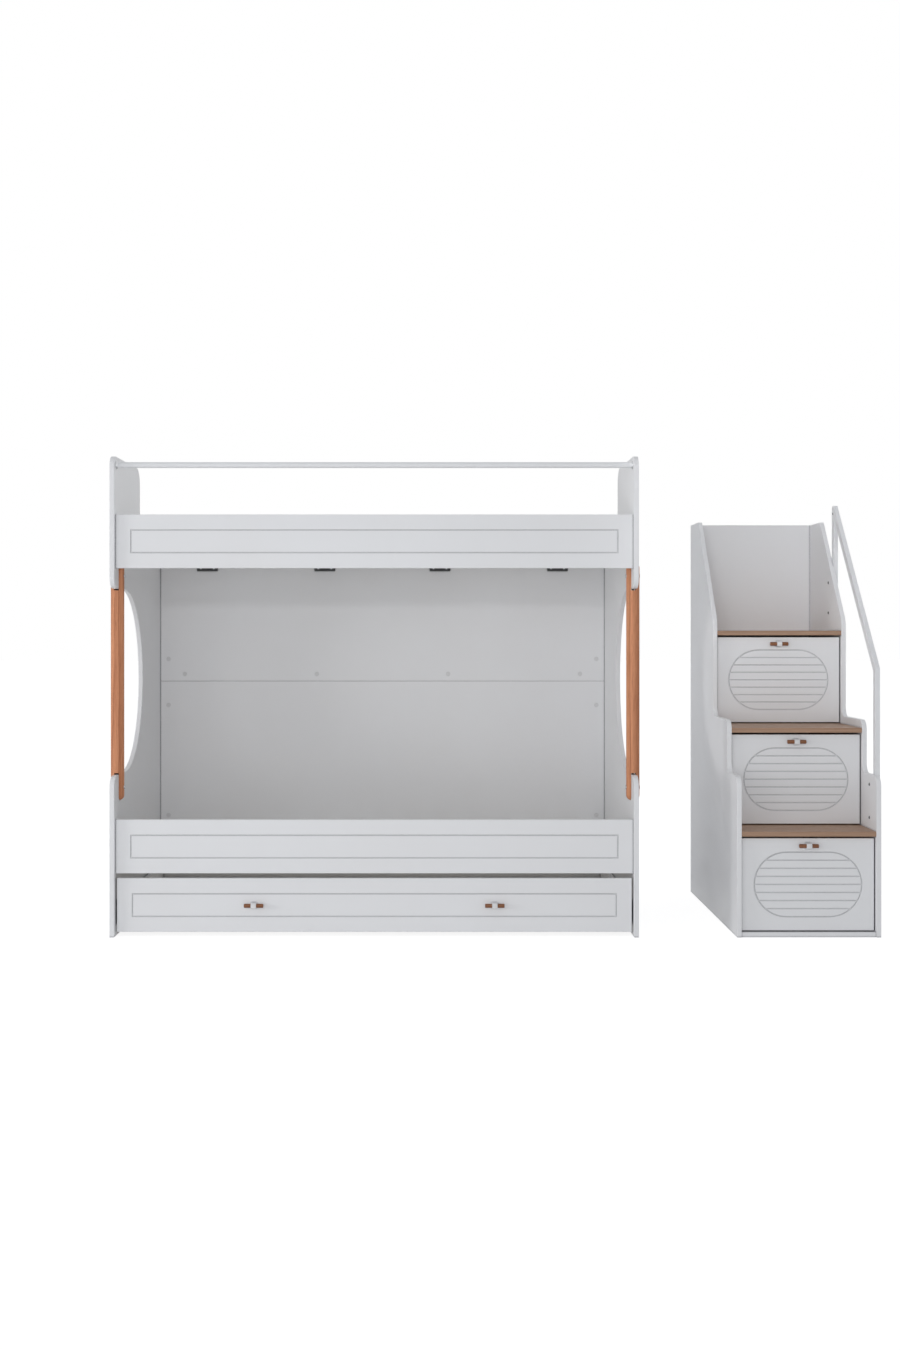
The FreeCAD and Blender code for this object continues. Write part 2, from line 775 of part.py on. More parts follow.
# Trundle: a grooved front, a shallow box and four casters
trundle_left = bed_left + mm.trundle_side_gap
trundle_right = bed_right - mm.trundle_side_gap
trundle_width = trundle_right - trundle_left
trundle_back_y = front_y + mm.bed_depth - mm.trundle_back_gap
box_height = mm.trundle_box_top - mm.trundle_box_bottom
keep(front_board((trundle_left, rail_y, mm.trundle_floor_gap), trundle_width, mm.trundle_front_height,
                 [frame_groove(trundle_width, mm.trundle_front_height)]), "trundle_front")
side_length = trundle_back_y - mm.board - rail_back_y
keep(group([box((x, rail_back_y, mm.trundle_box_bottom), mm.board, side_length, box_height)
            for x in (trundle_left, trundle_right - mm.board)]), "trundle_sides")
back_place = (trundle_left, trundle_back_y - mm.board, mm.trundle_box_bottom)
keep(box(back_place, trundle_width, mm.board, box_height), "trundle_back")
keep(box((trundle_left + mm.board, rail_back_y, mm.caster_height), trundle_width - mm.board * 2, side_length,
         mm.trundle_base), "trundle_base")
handle_height = mm.trundle_floor_gap + mm.trundle_front_height / 2
trundle_handles = [pull_handle(x, rail_y, handle_height)
                   for x in (bed_left + mm.trundle_handle_inset, bed_right - mm.trundle_handle_inset)]
keep(group([dowel for dowel, block in trundle_handles]), "trundle_handle_dowels")
keep(group([block for dowel, block in trundle_handles]), "trundle_handle_blocks")

fork_gap = mm.wheel_width + mm.fork_side_gap * 2
fork_width = fork_gap + mm.fork_plate * 2
axle_height = mm.wheel_diameter / 2


def caster_fork(x, y):
    """Folded fork: a top plate and two legs with axle holes."""
    left = x - fork_width / 2
    start = y - mm.fork_length / 2
    low = axle_height - mm.fork_leg_overhang
    plate = box((left, start, mm.caster_height - mm.fork_plate), fork_width, mm.fork_length, mm.fork_plate)
    legs = [box((side, start, low), mm.fork_plate, mm.fork_length, mm.caster_height - low)
            for side in (left, left + fork_width - mm.fork_plate)]
    hole = rod((left - mm.cut_overrun, y, axle_height), mm.axle_diameter + mm.axle_clearance * 2,
               fork_width + mm.cut_overrun * 2, ALONG_X)
    return cut(fuse([plate] + legs), [hole])


def caster_wheel(name, x, y):
    """Wheel with rounded rims and an axle bore."""
    body = new_body()
    put(body, (x - mm.wheel_width / 2, y, axle_height), ALONG_X)
    rings = new_sketch(body, "XY_Plane")
    draw_circle(rings, (ZERO, ZERO), mm.wheel_diameter / 2)
    draw_circle(rings, (ZERO, ZERO), mm.axle_diameter / 2 + mm.axle_clearance)
    add_pad(body, rings, mm.wheel_width)
    rims = [f"Edge{index}" for index, edge in enumerate(body.Shape.Edges, start=1)
            if isinstance(edge.Curve, Part.Circle) and edge.Curve.Radius > mm.axle_diameter.value]
    add_round(body, rims, mm.wheel_round)
    keep(body, name)


forks = []
axles = []
caster_columns = {"left": trundle_left + mm.caster_end_inset, "right": trundle_right - mm.caster_end_inset}
caster_rows = {"front": rail_back_y + mm.caster_edge_inset, "rear": trundle_back_y - mm.caster_edge_inset}
for side, x in caster_columns.items():
    for row, y in caster_rows.items():
        forks.append(caster_fork(x, y))
        axles.append(rod((x - fork_width / 2, y, axle_height), mm.axle_diameter, fork_width, ALONG_X))
        caster_wheel(f"{row}_{side}_wheel", x, y)
keep(group(forks), "caster_forks")
keep(group(axles), "caster_axles")

# Stair carcass: two stepped sides, a back, a base board and three treads
step_fronts = (ZERO, mm.second_step_front, mm.third_step_front)
tread_tops = [mm.board + mm.riser * level for level in (1, 2, 3)]
first_shoulder = tread_tops[0] + mm.first_shoulder_rise
second_shoulder = tread_tops[1] + mm.second_shoulder_rise
slope_foot = tread_tops[2] + mm.slope_foot_rise
slope_head = mm.stair_depth - mm.top_ledge
stair_height = tread_tops[2] + mm.stair_back_rise
stair_back_y = front_y + mm.stair_depth - mm.board
stair_corners = [(ZERO, ZERO), (mm.stair_depth, ZERO), (mm.stair_depth, stair_height),
                 (slope_head, stair_height), (mm.third_step_front, slope_foot),
                 (mm.third_step_front, second_shoulder), (mm.second_step_front, second_shoulder),
                 (mm.second_step_front, first_shoulder), (ZERO, first_shoulder)]
stair_rounds = [(mm.shoulder_round, stair_corners[5:]), (mm.slope_foot_round, stair_corners[4:5]),
                (mm.slope_head_round, stair_corners[3:4])]
handrail_y = front_y + mm.handrail_setback
front_screw_y = handrail_y + mm.tube_depth / 2
rear_screw_y = front_screw_y + mm.handrail_run - mm.tube_depth
handrail_bottom = tread_tops[0] + mm.handrail_foot_rise
upright_bottom = tread_tops[2] + mm.upright_foot_rise
screw_spots = [(y, foot + mm.rail_screw_margin + gap)
               for y, foot in ((front_screw_y, handrail_bottom), (rear_screw_y, upright_bottom))
               for gap in (ZERO, mm.rail_screw_spacing)]
screw_tip = stair_outer_right + mm.tube_wall + mm.cut_overrun


def screw_hole(y, z):
    """Cutter for a handrail screw through the right side and the near tube wall."""
    start = stair_right - mm.cut_overrun
    return rod((start, y, z), mm.rail_screw_diameter + mm.bolt_clearance * 2, screw_tip - start, ALONG_X)


left_side = upright_panel((stair_outer_left, front_y, ZERO), stair_corners, mm.board, stair_rounds)
keep(left_side, "stair_left_panel")
right_side = upright_panel((stair_right, front_y, ZERO), stair_corners, mm.board, stair_rounds)
keep(cut(right_side, [screw_hole(y, z) for y, z in screw_spots]), "stair_right_panel")
stair_back = box((stair_left, stair_back_y, ZERO), mm.stair_inner_width, mm.board, stair_height)
keep(stair_back, "stair_back_panel")


def stair_shelf(name, front, bottom):
    """Level board between the stair sides, from just behind a step's front to the back."""
    y = front_y + front + mm.tread_recess
    keep(box((stair_left, y, bottom), mm.stair_inner_width, stair_back_y - y, mm.board), name)


stair_shelf("stair_base_board", ZERO, ZERO)
for level, name in enumerate(("lower_tread", "middle_tread", "upper_tread")):
    stair_shelf(name, step_fronts[level], mm.riser * (level + 1))

# Handrail: a bent box tube beside the right side, an upright under its high end, caps and screws
slope = mm.handrail_rise / mm.handrail_run
slant = root(mm.handrail_run * mm.handrail_run + mm.handrail_rise * mm.handrail_rise) / mm.handrail_run
bend = mm.handrail_post
wall = mm.tube_wall
core_width = mm.tube_width - wall * 2
solid_end = mm.handrail_run - mm.tube_depth


def rail_top(y):
    """Height of the sloping tube's upper face at a depth."""
    return bend + slope * y


def rail_low(y):
    """Height of the sloping tube's lower face at a depth."""
    return rail_top(y) - mm.tube_depth * slant


rail_corners = [(ZERO, ZERO), (ZERO, bend), (mm.handrail_run, rail_top(mm.handrail_run)),
                (mm.handrail_run, rail_low(mm.handrail_run)), (mm.tube_depth, rail_low(mm.tube_depth)),
                (mm.tube_depth, ZERO)]
inside = mm.tube_depth - wall
core_corners = [(wall, -mm.cut_overrun), (wall, rail_top(wall) - slant * wall),
                (solid_end, rail_top(solid_end) - slant * wall),
                (solid_end, rail_low(solid_end) + slant * wall),
                (inside, rail_low(inside) + slant * wall), (inside, -mm.cut_overrun)]
rail_place = (stair_outer_right, handrail_y, handrail_bottom)
core_place = (stair_outer_right + wall, handrail_y, handrail_bottom)
rail_outer = upright_panel(rail_place, rail_corners, mm.tube_width,
                           [(mm.handrail_bend_round, rail_corners[1:2]),
                            (mm.handrail_top_round, rail_corners[2:3])], eased=False)
add_round(rail_outer, broad_faces(rail_outer, X_AXIS), mm.tube_edge_round)
rail_core = upright_panel(core_place, core_corners, core_width, [], eased=False)
keep(cut(rail_outer, [rail_core] + [screw_hole(y, z) for y, z in screw_spots[:2]]), "handrail")

upright_y = handrail_y + solid_end
upright_corners = [(ZERO, ZERO), (ZERO, rail_low(solid_end) + handrail_bottom - upright_bottom),
                   (mm.tube_depth, rail_low(mm.handrail_run) + handrail_bottom - upright_bottom),
                   (mm.tube_depth, ZERO)]
upright_place = (stair_outer_right, upright_y, upright_bottom)
upright_outer = upright_panel(upright_place, upright_corners, mm.tube_width, [], eased=False)
upright_hollow = (stair_outer_right + wall, upright_y + wall, upright_bottom - mm.cut_overrun)
upright_core = box(upright_hollow, core_width, mm.tube_depth - wall * 2,
                   upright_corners[1][1] + mm.cut_overrun - wall)
keep(cut(upright_outer, [upright_core] + [screw_hole(y, z) for y, z in screw_spots[2:]]), "handrail_upright")

caps = []
for y, bottom in ((handrail_y, handrail_bottom), (upright_y, upright_bottom)):
    foot = box((stair_outer_right, y, bottom - mm.cap_plate), mm.tube_width, mm.tube_depth, mm.cap_plate)
    plug_inset = wall + mm.cap_clearance
    plug = box((stair_outer_right + plug_inset, y + plug_inset, bottom), mm.tube_width - plug_inset * 2,
               mm.tube_depth - plug_inset * 2, mm.cap_depth)
    caps.append(fuse([foot, plug]))
keep(group(caps), "handrail_end_caps")

screws = []
for y, z in screw_spots:
    head_place = (stair_right - mm.rail_screw_head_height, y, z)
    head = rod(head_place, mm.rail_screw_head, mm.rail_screw_head_height, ALONG_X)
    shank = rod((stair_right, y, z), mm.rail_screw_diameter, screw_tip - stair_right, ALONG_X)
    screws.append(fuse([head, shank]))
keep(group(screws), "handrail_screws")

# Stair drawers on two-part runners
front_width = mm.stair_inner_width - mm.drawer_side_gap * 2
front_height = mm.riser - mm.board - mm.drawer_under_gap - mm.drawer_over_gap
box_width = mm.stair_inner_width - mm.runner_space * 2
slide_height = mm.runner_height - (mm.runner_wall + mm.runner_clearance) * 2
slide_width = mm.runner_space - mm.runner_wall - mm.runner_clearance
drawer_depth = (mm.stair_depth - mm.third_step_front - mm.drawer_recess - mm.board * 2
                - mm.drawer_back_gap)
oval_centre = (front_width / 2, front_height / 2)


def oval_groove(sketch):
    """Routed slot-shaped line."""
    for sign in (1, -1):
        draw_slot(sketch, oval_centre, mm.oval_width + mm.groove_width * sign,
                  mm.oval_height + mm.groove_width * sign)


def oval_lines(sketch):
    """Level routed lines inside the slot shape, each as long as the shape is wide there."""
    radius = mm.oval_height / 2
    straight = mm.oval_width / 2 - radius
    count = int(mm.oval_line_count.value)
    for index in range(count):
        rise = mm.oval_height / (mm.oval_line_count + 1) * (index + 1) - radius
        reach = straight + root(radius * radius - rise * rise)
        low = (oval_centre[0] - reach, oval_centre[1] + rise - mm.groove_width / 2)
        high = (oval_centre[0] + reach, oval_centre[1] + rise + mm.groove_width / 2)
        draw_rectangle(sketch, low, high)


channels = []


def runner(side_x, outward, y, z):
    """Channel on a stair side and slide on a drawer side, both folded from plate."""
    channel_x = side_x if outward > 0 else side_x - mm.runner_reach
    hollow_x = side_x + mm.runner_wall if outward > 0 else side_x - mm.runner_reach - mm.cut_overrun
    length = drawer_depth - mm.runner_front_gap
    shell = box((channel_x, y, z), mm.runner_reach, length, mm.runner_height)
    hollow = box((hollow_x, y - mm.cut_overrun, z + mm.runner_wall),
                 mm.runner_reach - mm.runner_wall + mm.cut_overrun, length + mm.cut_overrun * 2,
                 mm.runner_height - mm.runner_wall * 2)
    channels.append(cut(shell, [hollow]))
    inset = mm.runner_wall + mm.runner_clearance
    slide_x = side_x + inset if outward > 0 else side_x - mm.runner_space
    groove_x = slide_x - mm.cut_overrun if outward > 0 else slide_x + mm.runner_wall
    bar = box((slide_x, y, z + inset), slide_width, length, slide_height)
    groove = box((groove_x, y - mm.cut_overrun, z + inset + mm.runner_wall),
                 slide_width - mm.runner_wall + mm.cut_overrun, length + mm.cut_overrun * 2,
                 slide_height - mm.runner_wall * 2)
    return cut(bar, [groove])


def stair_drawer(name, level):
    """Front, box, bottom, slides and handle of one drawer."""
    bottom = mm.board + mm.riser * level + mm.drawer_under_gap
    face_y = front_y + step_fronts[level] + mm.drawer_recess
    keep(front_board((stair_left + mm.drawer_side_gap, face_y, bottom), front_width, front_height,
                     [oval_groove, oval_lines]), f"{name}_drawer_front")
    inner_y = face_y + mm.board
    box_left = stair_left + mm.runner_space
    box_right = stair_right - mm.runner_space
    box_bottom = bottom + mm.drawer_box_lift
    thick = mm.drawer_box_board
    sides = [box((x, inner_y, box_bottom), thick, drawer_depth, mm.drawer_box_height)
             for x in (box_left, box_right - thick)]
    back_y = inner_y + drawer_depth - thick
    back = box((box_left + thick, back_y, box_bottom), box_width - thick * 2, thick, mm.drawer_box_height)
    keep(group(sides + [back]), f"{name}_drawer_box")
    keep(box((box_left + thick, inner_y, box_bottom), box_width - thick * 2, drawer_depth - thick,
             mm.drawer_bottom_board), f"{name}_drawer_bottom")
    runner_y = inner_y + mm.runner_front_gap
    runner_z = box_bottom + mm.runner_lift
    slides = [runner(stair_left, 1, runner_y, runner_z), runner(stair_right, -1, runner_y, runner_z)]
    keep(group(slides), f"{name}_drawer_slides")
    dowel, block = pull_handle(stair_middle, face_y, bottom + front_height - mm.drawer_handle_drop)
    keep(dowel, f"{name}_drawer_handle_dowel")
    keep(block, f"{name}_drawer_handle_block")


for level, name in enumerate(("lower", "middle", "upper")):
    stair_drawer(name, level)
keep(group(channels), "drawer_runner_channels")

# Check every object and write one file for each piece
doc.recompute()
for obj in doc.Objects:
    if "Invalid" in obj.State or "Error" in obj.State:
        raise RuntimeError(f"{obj.Label} did not compute")
os.makedirs("parts", exist_ok=True)
for piece in pieces:
    if piece.Shape.isNull() or not piece.Shape.isValid():
        raise RuntimeError(f"{piece.Label} has no valid shape")
    piece.Shape.exportStep(f"parts/{piece.Label}.step")
print(f"{len(pieces)} pieces written")
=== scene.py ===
# %% [markdown]
# # A bunk bed with a trundle and storage stairs
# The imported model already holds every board, rail, tube and drawer at its true size, in metres. This
# lesson dresses it: it sets a camera and a soft studio, builds the finishes from shader nodes, and turns
# or carries the small fittings that deserve a finer shape than a plain solid. Nothing here moves or edits
# the frame.

# %% Load the frame
import json
import math

import bpy
import numpy as np
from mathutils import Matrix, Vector


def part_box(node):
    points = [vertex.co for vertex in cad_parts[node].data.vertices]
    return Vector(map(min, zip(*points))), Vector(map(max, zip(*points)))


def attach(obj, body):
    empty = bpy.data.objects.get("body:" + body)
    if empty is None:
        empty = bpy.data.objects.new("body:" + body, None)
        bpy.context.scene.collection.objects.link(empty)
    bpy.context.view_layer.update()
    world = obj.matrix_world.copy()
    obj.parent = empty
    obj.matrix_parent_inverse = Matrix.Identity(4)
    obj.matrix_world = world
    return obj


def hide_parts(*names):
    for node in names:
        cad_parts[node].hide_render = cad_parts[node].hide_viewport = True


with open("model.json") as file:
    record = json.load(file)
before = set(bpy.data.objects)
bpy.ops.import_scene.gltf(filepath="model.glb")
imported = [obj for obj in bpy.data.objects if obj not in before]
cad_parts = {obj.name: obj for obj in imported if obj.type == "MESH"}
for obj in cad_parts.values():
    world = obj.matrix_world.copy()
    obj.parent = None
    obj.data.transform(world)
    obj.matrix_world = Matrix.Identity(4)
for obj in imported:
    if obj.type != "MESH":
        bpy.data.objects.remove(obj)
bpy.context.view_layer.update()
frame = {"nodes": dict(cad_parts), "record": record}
scene = bpy.context.scene

# %% [markdown]
# ## The viewpoint
# The bed was seen straight on from about six metres, at chest height. A camera that stays level and
# square to the bed keeps every upright parallel, so the framing is done with the lens shift, not by
# tilting. The picture is 900 by 1350 pixels, and Blender counts lens and shift against its longer side.

# %% Camera
PICTURE_WIDE = 900
PICTURE_HIGH = 1350
FOCAL_PIXELS = 1533
# The camera's axis meets the picture in this pixel.
AXIS_PIXEL = (431, 635)
SENSOR_SIDE = 36
VIEW_REACH = 200
CAMERA_DISTANCE = 5.690
CAMERA_HEIGHT = 1.123
CAMERA_OFFSET = 0.211

bed_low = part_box("left_end_panel")[0]
bed_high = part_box("right_end_panel")[1]
bed_middle = (bed_low.x + bed_high.x) / 2
lens = bpy.data.cameras.new("front_camera")
lens.sensor_width = SENSOR_SIDE
lens.lens = FOCAL_PIXELS / PICTURE_HIGH * SENSOR_SIDE
lens.shift_x = (PICTURE_WIDE / 2 - AXIS_PIXEL[0]) / PICTURE_HIGH
lens.shift_y = (AXIS_PIXEL[1] - PICTURE_HIGH / 2) / PICTURE_HIGH
lens.clip_end = VIEW_REACH
camera = bpy.data.objects.new("front_camera", lens)
camera.location = (bed_middle + CAMERA_OFFSET, bed_low.y - CAMERA_DISTANCE, CAMERA_HEIGHT)
camera.rotation_euler = (math.radians(90), 0, 0)
scene.collection.objects.link(camera)
scene.camera = camera
print("lens", round(lens.lens, 2), "mm, camera at", tuple(round(v, 3) for v in camera.location))

# %% [markdown]
# ## Building shader graphs
# Every finish below is a small graph of nodes. Writing each link by hand hides the idea, so a few helpers
# do the plumbing. A plain value is set on its socket, and only what varies over a surface is linked.

# %% Node helpers
def fill(tree, socket, value):
    """Link another node's output to an input socket, or set a plain value on it."""
    if isinstance(value, bpy.types.NodeSocket):
        tree.links.new(value, socket)
    elif isinstance(value, tuple) and len(value) == 3 and socket.type == "RGBA":
        socket.default_value = (*value, 1)
    else:
        socket.default_value = value


def add(tree, kind, **inputs):
    """Make a shader node; an input's name has _ for each space."""
    made = tree.nodes.new("ShaderNode" + kind)
    for name, value in inputs.items():
        fill(tree, made.inputs[name.replace("_", " ")], value)
    return made


def sums(tree, action, first, second=0.0, third=0.0):
    """One step of arithmetic on values."""
    made = tree.nodes.new("ShaderNodeMath")
    made.operation = action
    for socket, value in zip(made.inputs, (first, second, third)):
        fill(tree, socket, value)
    return made.outputs[0]


print("node helpers ready")

# %% [markdown]
# ## Values, colours and noise
# A finish is mostly three moves: make a noise, spread its values over a useful span, and use them to mix
# two colours. Each move gets a helper, so a finish reads like a recipe.

# %% Colour and noise helpers
# The Mix node has sockets for numbers, vectors and colours. These are its colour sockets.
MIX_FIRST = 6
MIX_SECOND = 7
MIX_RESULT = 2
# Most of a noise lies between these two values.
NOISE_SPAN = (0.3, 0.7)


def across(tree, value, low, high, to_low=0.0, to_high=1.0):
    """Spread a value from one span to another, held at the ends."""
    made = add(tree, "MapRange", Value=value, From_Min=low, From_Max=high, To_Min=to_low, To_Max=to_high)
    return made.outputs[0]


def evened(tree, noise, low=0.0, high=1.0):
    """Spread the span in which most of a noise lies over another span."""
    return across(tree, noise, *NOISE_SPAN, low, high)


def tint(tree, factor, first, second, blend="MIX"):
    """Mix two colours by a factor."""
    made = tree.nodes.new("ShaderNodeMix")
    made.data_type = "RGBA"
    made.blend_type = blend
    fill(tree, made.inputs[0], factor)
    fill(tree, made.inputs[MIX_FIRST], first)
    fill(tree, made.inputs[MIX_SECOND], second)
    return made.outputs[MIX_RESULT]


def glaze(tree, mask, share, under, over, blend="MIX"):
    """Lay a colour over another where a mask is, at a share of its strength."""
    return tint(tree, sums(tree, "MULTIPLY", mask, share), under, over, blend)


def stretched(tree, vector, scale):
    """Coordinates multiplied along each axis."""
    made = tree.nodes.new("ShaderNodeVectorMath")
    made.operation = "MULTIPLY"
    fill(tree, made.inputs[0], vector)
    made.inputs[1].default_value = scale
    return made.outputs[0]


def clouds(tree, vector, scale, detail=2.0, rough=0.5):
    """Smooth random value from 0 to 1."""
    return add(tree, "TexNoise", Vector=vector, Scale=scale, Detail=detail, Roughness=rough).outputs[0]


print("colour and noise helpers ready")

# %% [markdown]
# ## Sharing an effect
# Grain, skin, worn edges, grooves and dust turn up on more than one finish. Each is built once as a node
# group with named inputs and outputs, and a finish places it with its own values.

# %% Group helpers
def new_group(name, inputs, outputs):
    """Empty shader group with named sockets: {name: (socket kind, default)} and {name: socket kind}."""
    tree = bpy.data.node_groups.new(name, "ShaderNodeTree")
    for label, (kind, default) in inputs.items():
        socket = tree.interface.new_socket(name=label, in_out="INPUT", socket_type="NodeSocket" + kind)
        if default is not None:
            socket.default_value = default
    for label, kind in outputs.items():
        tree.interface.new_socket(name=label, in_out="OUTPUT", socket_type="NodeSocket" + kind)
    return tree, tree.nodes.new("NodeGroupInput"), tree.nodes.new("NodeGroupOutput")


def put_out(tree, end, **values):
    """Link each value to the group's output of that name."""
    for label, value in values.items():
        tree.links.new(value, end.inputs[label])
    print("group", tree.name, "with", len(tree.nodes), "nodes")


def use(tree, group, **inputs):
    """Place a shared group in a material with its own values."""
    made = tree.nodes.new("ShaderNodeGroup")
    made.node_tree = group
    for name, value in inputs.items():
        fill(tree, made.inputs[name.replace("_", " ")], value)
    return made


print("group helpers ready")

# %% [markdown]
# ## White all round
# The picture has a white surround. White world light would flatten a white bed, so the world shines
# softly on the object and shows pure white only to the camera and to reflections. A light path tells such
# rays apart.

# %% World
AMBIENT_COLOUR = (0.95, 0.972, 1.0)
AMBIENT_STRENGTH = 0.51
PURE_WHITE = (1.0, 1.0, 1.0)


def seen_directly(tree):
    """1 for rays from the camera, off a gloss or through glass, and 0 for rays that gather light."""
    path = add(tree, "LightPath")
    gloss = sums(tree, "MAXIMUM", path.outputs["Is Glossy Ray"], path.outputs["Is Transmission Ray"])
    return sums(tree, "MAXIMUM", path.outputs["Is Camera Ray"], gloss)


def choose(tree, factor, lit, shown, end):
    """Mix two shaders by a factor, from the lit one to the shown one, into the tree's end node."""
    choice = tree.nodes.new("ShaderNodeMixShader")
    for socket, value in zip(choice.inputs, (factor, lit.outputs[0], shown.outputs[0])):
        tree.links.new(value, socket)
    tree.links.new(choice.outputs[0], tree.nodes[end].inputs[0])


world = bpy.data.worlds.new("studio")
world.use_nodes = True
sky = world.node_tree
ambient = sky.nodes["Background"]
fill(sky, ambient.inputs["Color"], AMBIENT_COLOUR)
ambient.inputs["Strength"].default_value = AMBIENT_STRENGTH
surround = add(sky, "Background", Color=PURE_WHITE, Strength=1.0)
choose(sky, seen_directly(sky), ambient, surround, "World Output")
scene.world = world
scene.view_settings.view_transform = "Standard"
print("world light at", AMBIENT_STRENGTH)

# %% [markdown]
# ## The floor
# The floor is a wide sheet of matt paper. It glows white for the camera as the world does, but keeps a
# share of its real shading, so the object's shadow stays on it. It is stage, not a part of the bed.

# %% Floor
FLOOR_REACH = 60.0
FLOOR_COLOUR = (0.88, 0.88, 0.88)
FLOOR_SHADOW_SHARE = 0.36
FLOOR_GLOW = 1.36

floor_mesh = bpy.data.meshes.new("studio_floor")
floor_corners = [(FLOOR_REACH * x, FLOOR_REACH * y, 0) for x, y in ((-1, -1), (1, -1), (1, 1), (-1, 1))]
floor_mesh.from_pydata(floor_corners, [], [(0, 1, 2, 3)])
floor = bpy.data.objects.new("studio_floor", floor_mesh)
scene.collection.objects.link(floor)
paper = bpy.data.materials.new("studio_paper")
paper.use_nodes = True
sheet = paper.node_tree
matt = add(sheet, "BsdfDiffuse", Color=FLOOR_COLOUR)
glow = add(sheet, "Emission", Color=PURE_WHITE, Strength=FLOOR_GLOW)
glow_share = sums(sheet, "MULTIPLY", seen_directly(sheet), 1 - FLOOR_SHADOW_SHARE)
choose(sheet, glow_share, matt, glow, "Material Output")
floor_mesh.materials.append(paper)
print("floor of", 2 * FLOOR_REACH, "m, with", FLOOR_SHADOW_SHARE, "of its shading kept")

# %% [markdown]
# ## Six soft lamps
# A small lamp straight in front draws the shadow of the upper rail. Two large ones to the left model the
# round posts, two weak ones open the lower bunk and the stairs, and one behind keeps the back from going
# grey. Square area lamps do all of it: the larger the lamp, the softer its shadow, and a narrow spread
# makes it a spotlight.

# %% Lamps
LAMP_COLOUR = (0.99, 0.99, 1.0)
BED_AIM = (-0.4, -0.2, 0.9)
STAIR_AIM = (1.35, 0.4, 1.4)
ALL_ROUND = 180
# Each lamp has its place, its target, its side in metres, its power in watts and its spread in degrees.
LAMPS = {
    "key_lamp": ((0.1, -12.0, 2.85), BED_AIM, 0.4, 75, ALL_ROUND),
    "left_lamp": ((-7.6, -9.8, 2.5), BED_AIM, 3.0, 45, ALL_ROUND),
    "side_lamp": ((-8.0, -3.0, 1.1), BED_AIM, 2.0, 115, ALL_ROUND),
    "low_lamp": ((-0.9, -3.2, 0.5), BED_AIM, 2.4, 15, ALL_ROUND),
    "stair_lamp": ((0.1, -2.8, 2.0), STAIR_AIM, 0.6, 0.36, 26),
    "back_lamp": ((7.5, 7.5, 3.0), BED_AIM, 3.0, 100, ALL_ROUND),
}


def add_lamp(name, place, target, side, power, spread):
    """Square soft lamp at a place, turned to a target, with its light held inside an angle."""
    light = bpy.data.lights.new(name, "AREA")
    light.size = side
    light.energy = power
    light.color = LAMP_COLOUR
    light.spread = math.radians(spread)
    lamp = bpy.data.objects.new(name, light)
    lamp.visible_camera = False
    lamp.location = place
    aim = Vector(target) - Vector(place)
    lamp.rotation_euler = aim.to_track_quat("-Z", "Y").to_euler()
    scene.collection.objects.link(lamp)


for lamp_name, lamp_values in LAMPS.items():
    add_lamp(lamp_name, *lamp_values)
print("lamps:", ", ".join(LAMPS))

# %% [markdown]
# ## Wood grain, shared by posts, handles, treads and slats
# Timber shows two scales at once: broad growth figure, which is slices through cones round the trunk's
# axis, and fine pores that run along the trunk. The group below takes coordinates whose Z runs along the
# grain. It bends them a little with slow clouds, measures the distance from a far-off trunk axis for the
# figure, and squeezes noise along Z for fibres and pores.

# %% Group: wood grain
FIGURE_STRETCH = (1.0, 1.0, 0.09)
FIBRE_STRETCH = (1.0, 1.0, 0.02)
PORE_STRETCH = (2.4, 2.4, 0.06)
BEND_SCALE = 9.0
BEND_SPAN = (0.2, 0.8)
BEND_REACH = 0.022
# The trunk's axis lies this far from the piece, in metres.
TRUNK_AWAY = (0.13, 0.05)
LATE_WOOD_POWER = 2.2
RING_FADE = 0.9
PORE_SPAN = (0.63, 0.72)
FIBRE_RISE = 0.6
PORE_DEPTH = 0.8

grain, grain_in, grain_out = new_group(
    "wood grain",
    {"Vector": ("Vector", None), "Ring Spacing": ("Float", 0.012), "Fibre Scale": ("Float", 420.0)},
    {"Figure": "Float", "Fibres": "Float", "Pores": "Float", "Height": "Float"})
along = grain_in.outputs["Vector"]
fineness = grain_in.outputs["Fibre Scale"]
slow = stretched(grain, along, FIGURE_STRETCH)
bend = across(grain, clouds(grain, slow, BEND_SCALE, detail=3.0), *BEND_SPAN, -BEND_REACH, BEND_REACH)
apart = add(grain, "SeparateXYZ", Vector=slow)
squares = []
for axis, away in enumerate(TRUNK_AWAY):
    leg = sums(grain, "ADD", sums(grain, "ADD", apart.outputs[axis], away), bend)
    squares.append(sums(grain, "MULTIPLY", leg, leg))
from_trunk = sums(grain, "SQRT", sums(grain, "ADD", *squares))
ring = sums(grain, "FRACT", sums(grain, "DIVIDE", from_trunk, grain_in.outputs["Ring Spacing"]))
late_wood = sums(grain, "POWER", ring, LATE_WOOD_POWER)
figure = sums(grain, "MULTIPLY", late_wood, across(grain, ring, RING_FADE, 1.0, 1.0, 0.0))
fibres = clouds(grain, stretched(grain, along, FIBRE_STRETCH), fineness, detail=4.0, rough=0.65)
dots = clouds(grain, stretched(grain, along, PORE_STRETCH), fineness, detail=1.0)
pores = across(grain, dots, *PORE_SPAN)
sunk = sums(grain, "MULTIPLY", pores, PORE_DEPTH)
relief = sums(grain, "SUBTRACT", sums(grain, "MULTIPLY", fibres, FIBRE_RISE), sunk)
put_out(grain, grain_out, Figure=figure, Fibres=fibres, Pores=pores, Height=relief)

# %% [markdown]
# ## Fine skin
# Foil, paint and moulded plastic are never optically flat: a fine orange-peel texture breaks up
# reflections. Three noises are enough: a fine one for the relief, a slow one for drifts of tone, and one
# between them for places that hands have rubbed.

# %% Group: fine skin
MOTTLE_SCALE = 3.1
RUB_SCALE = 17.0
RUB_STRETCH = (1.0, 1.0, 0.6)

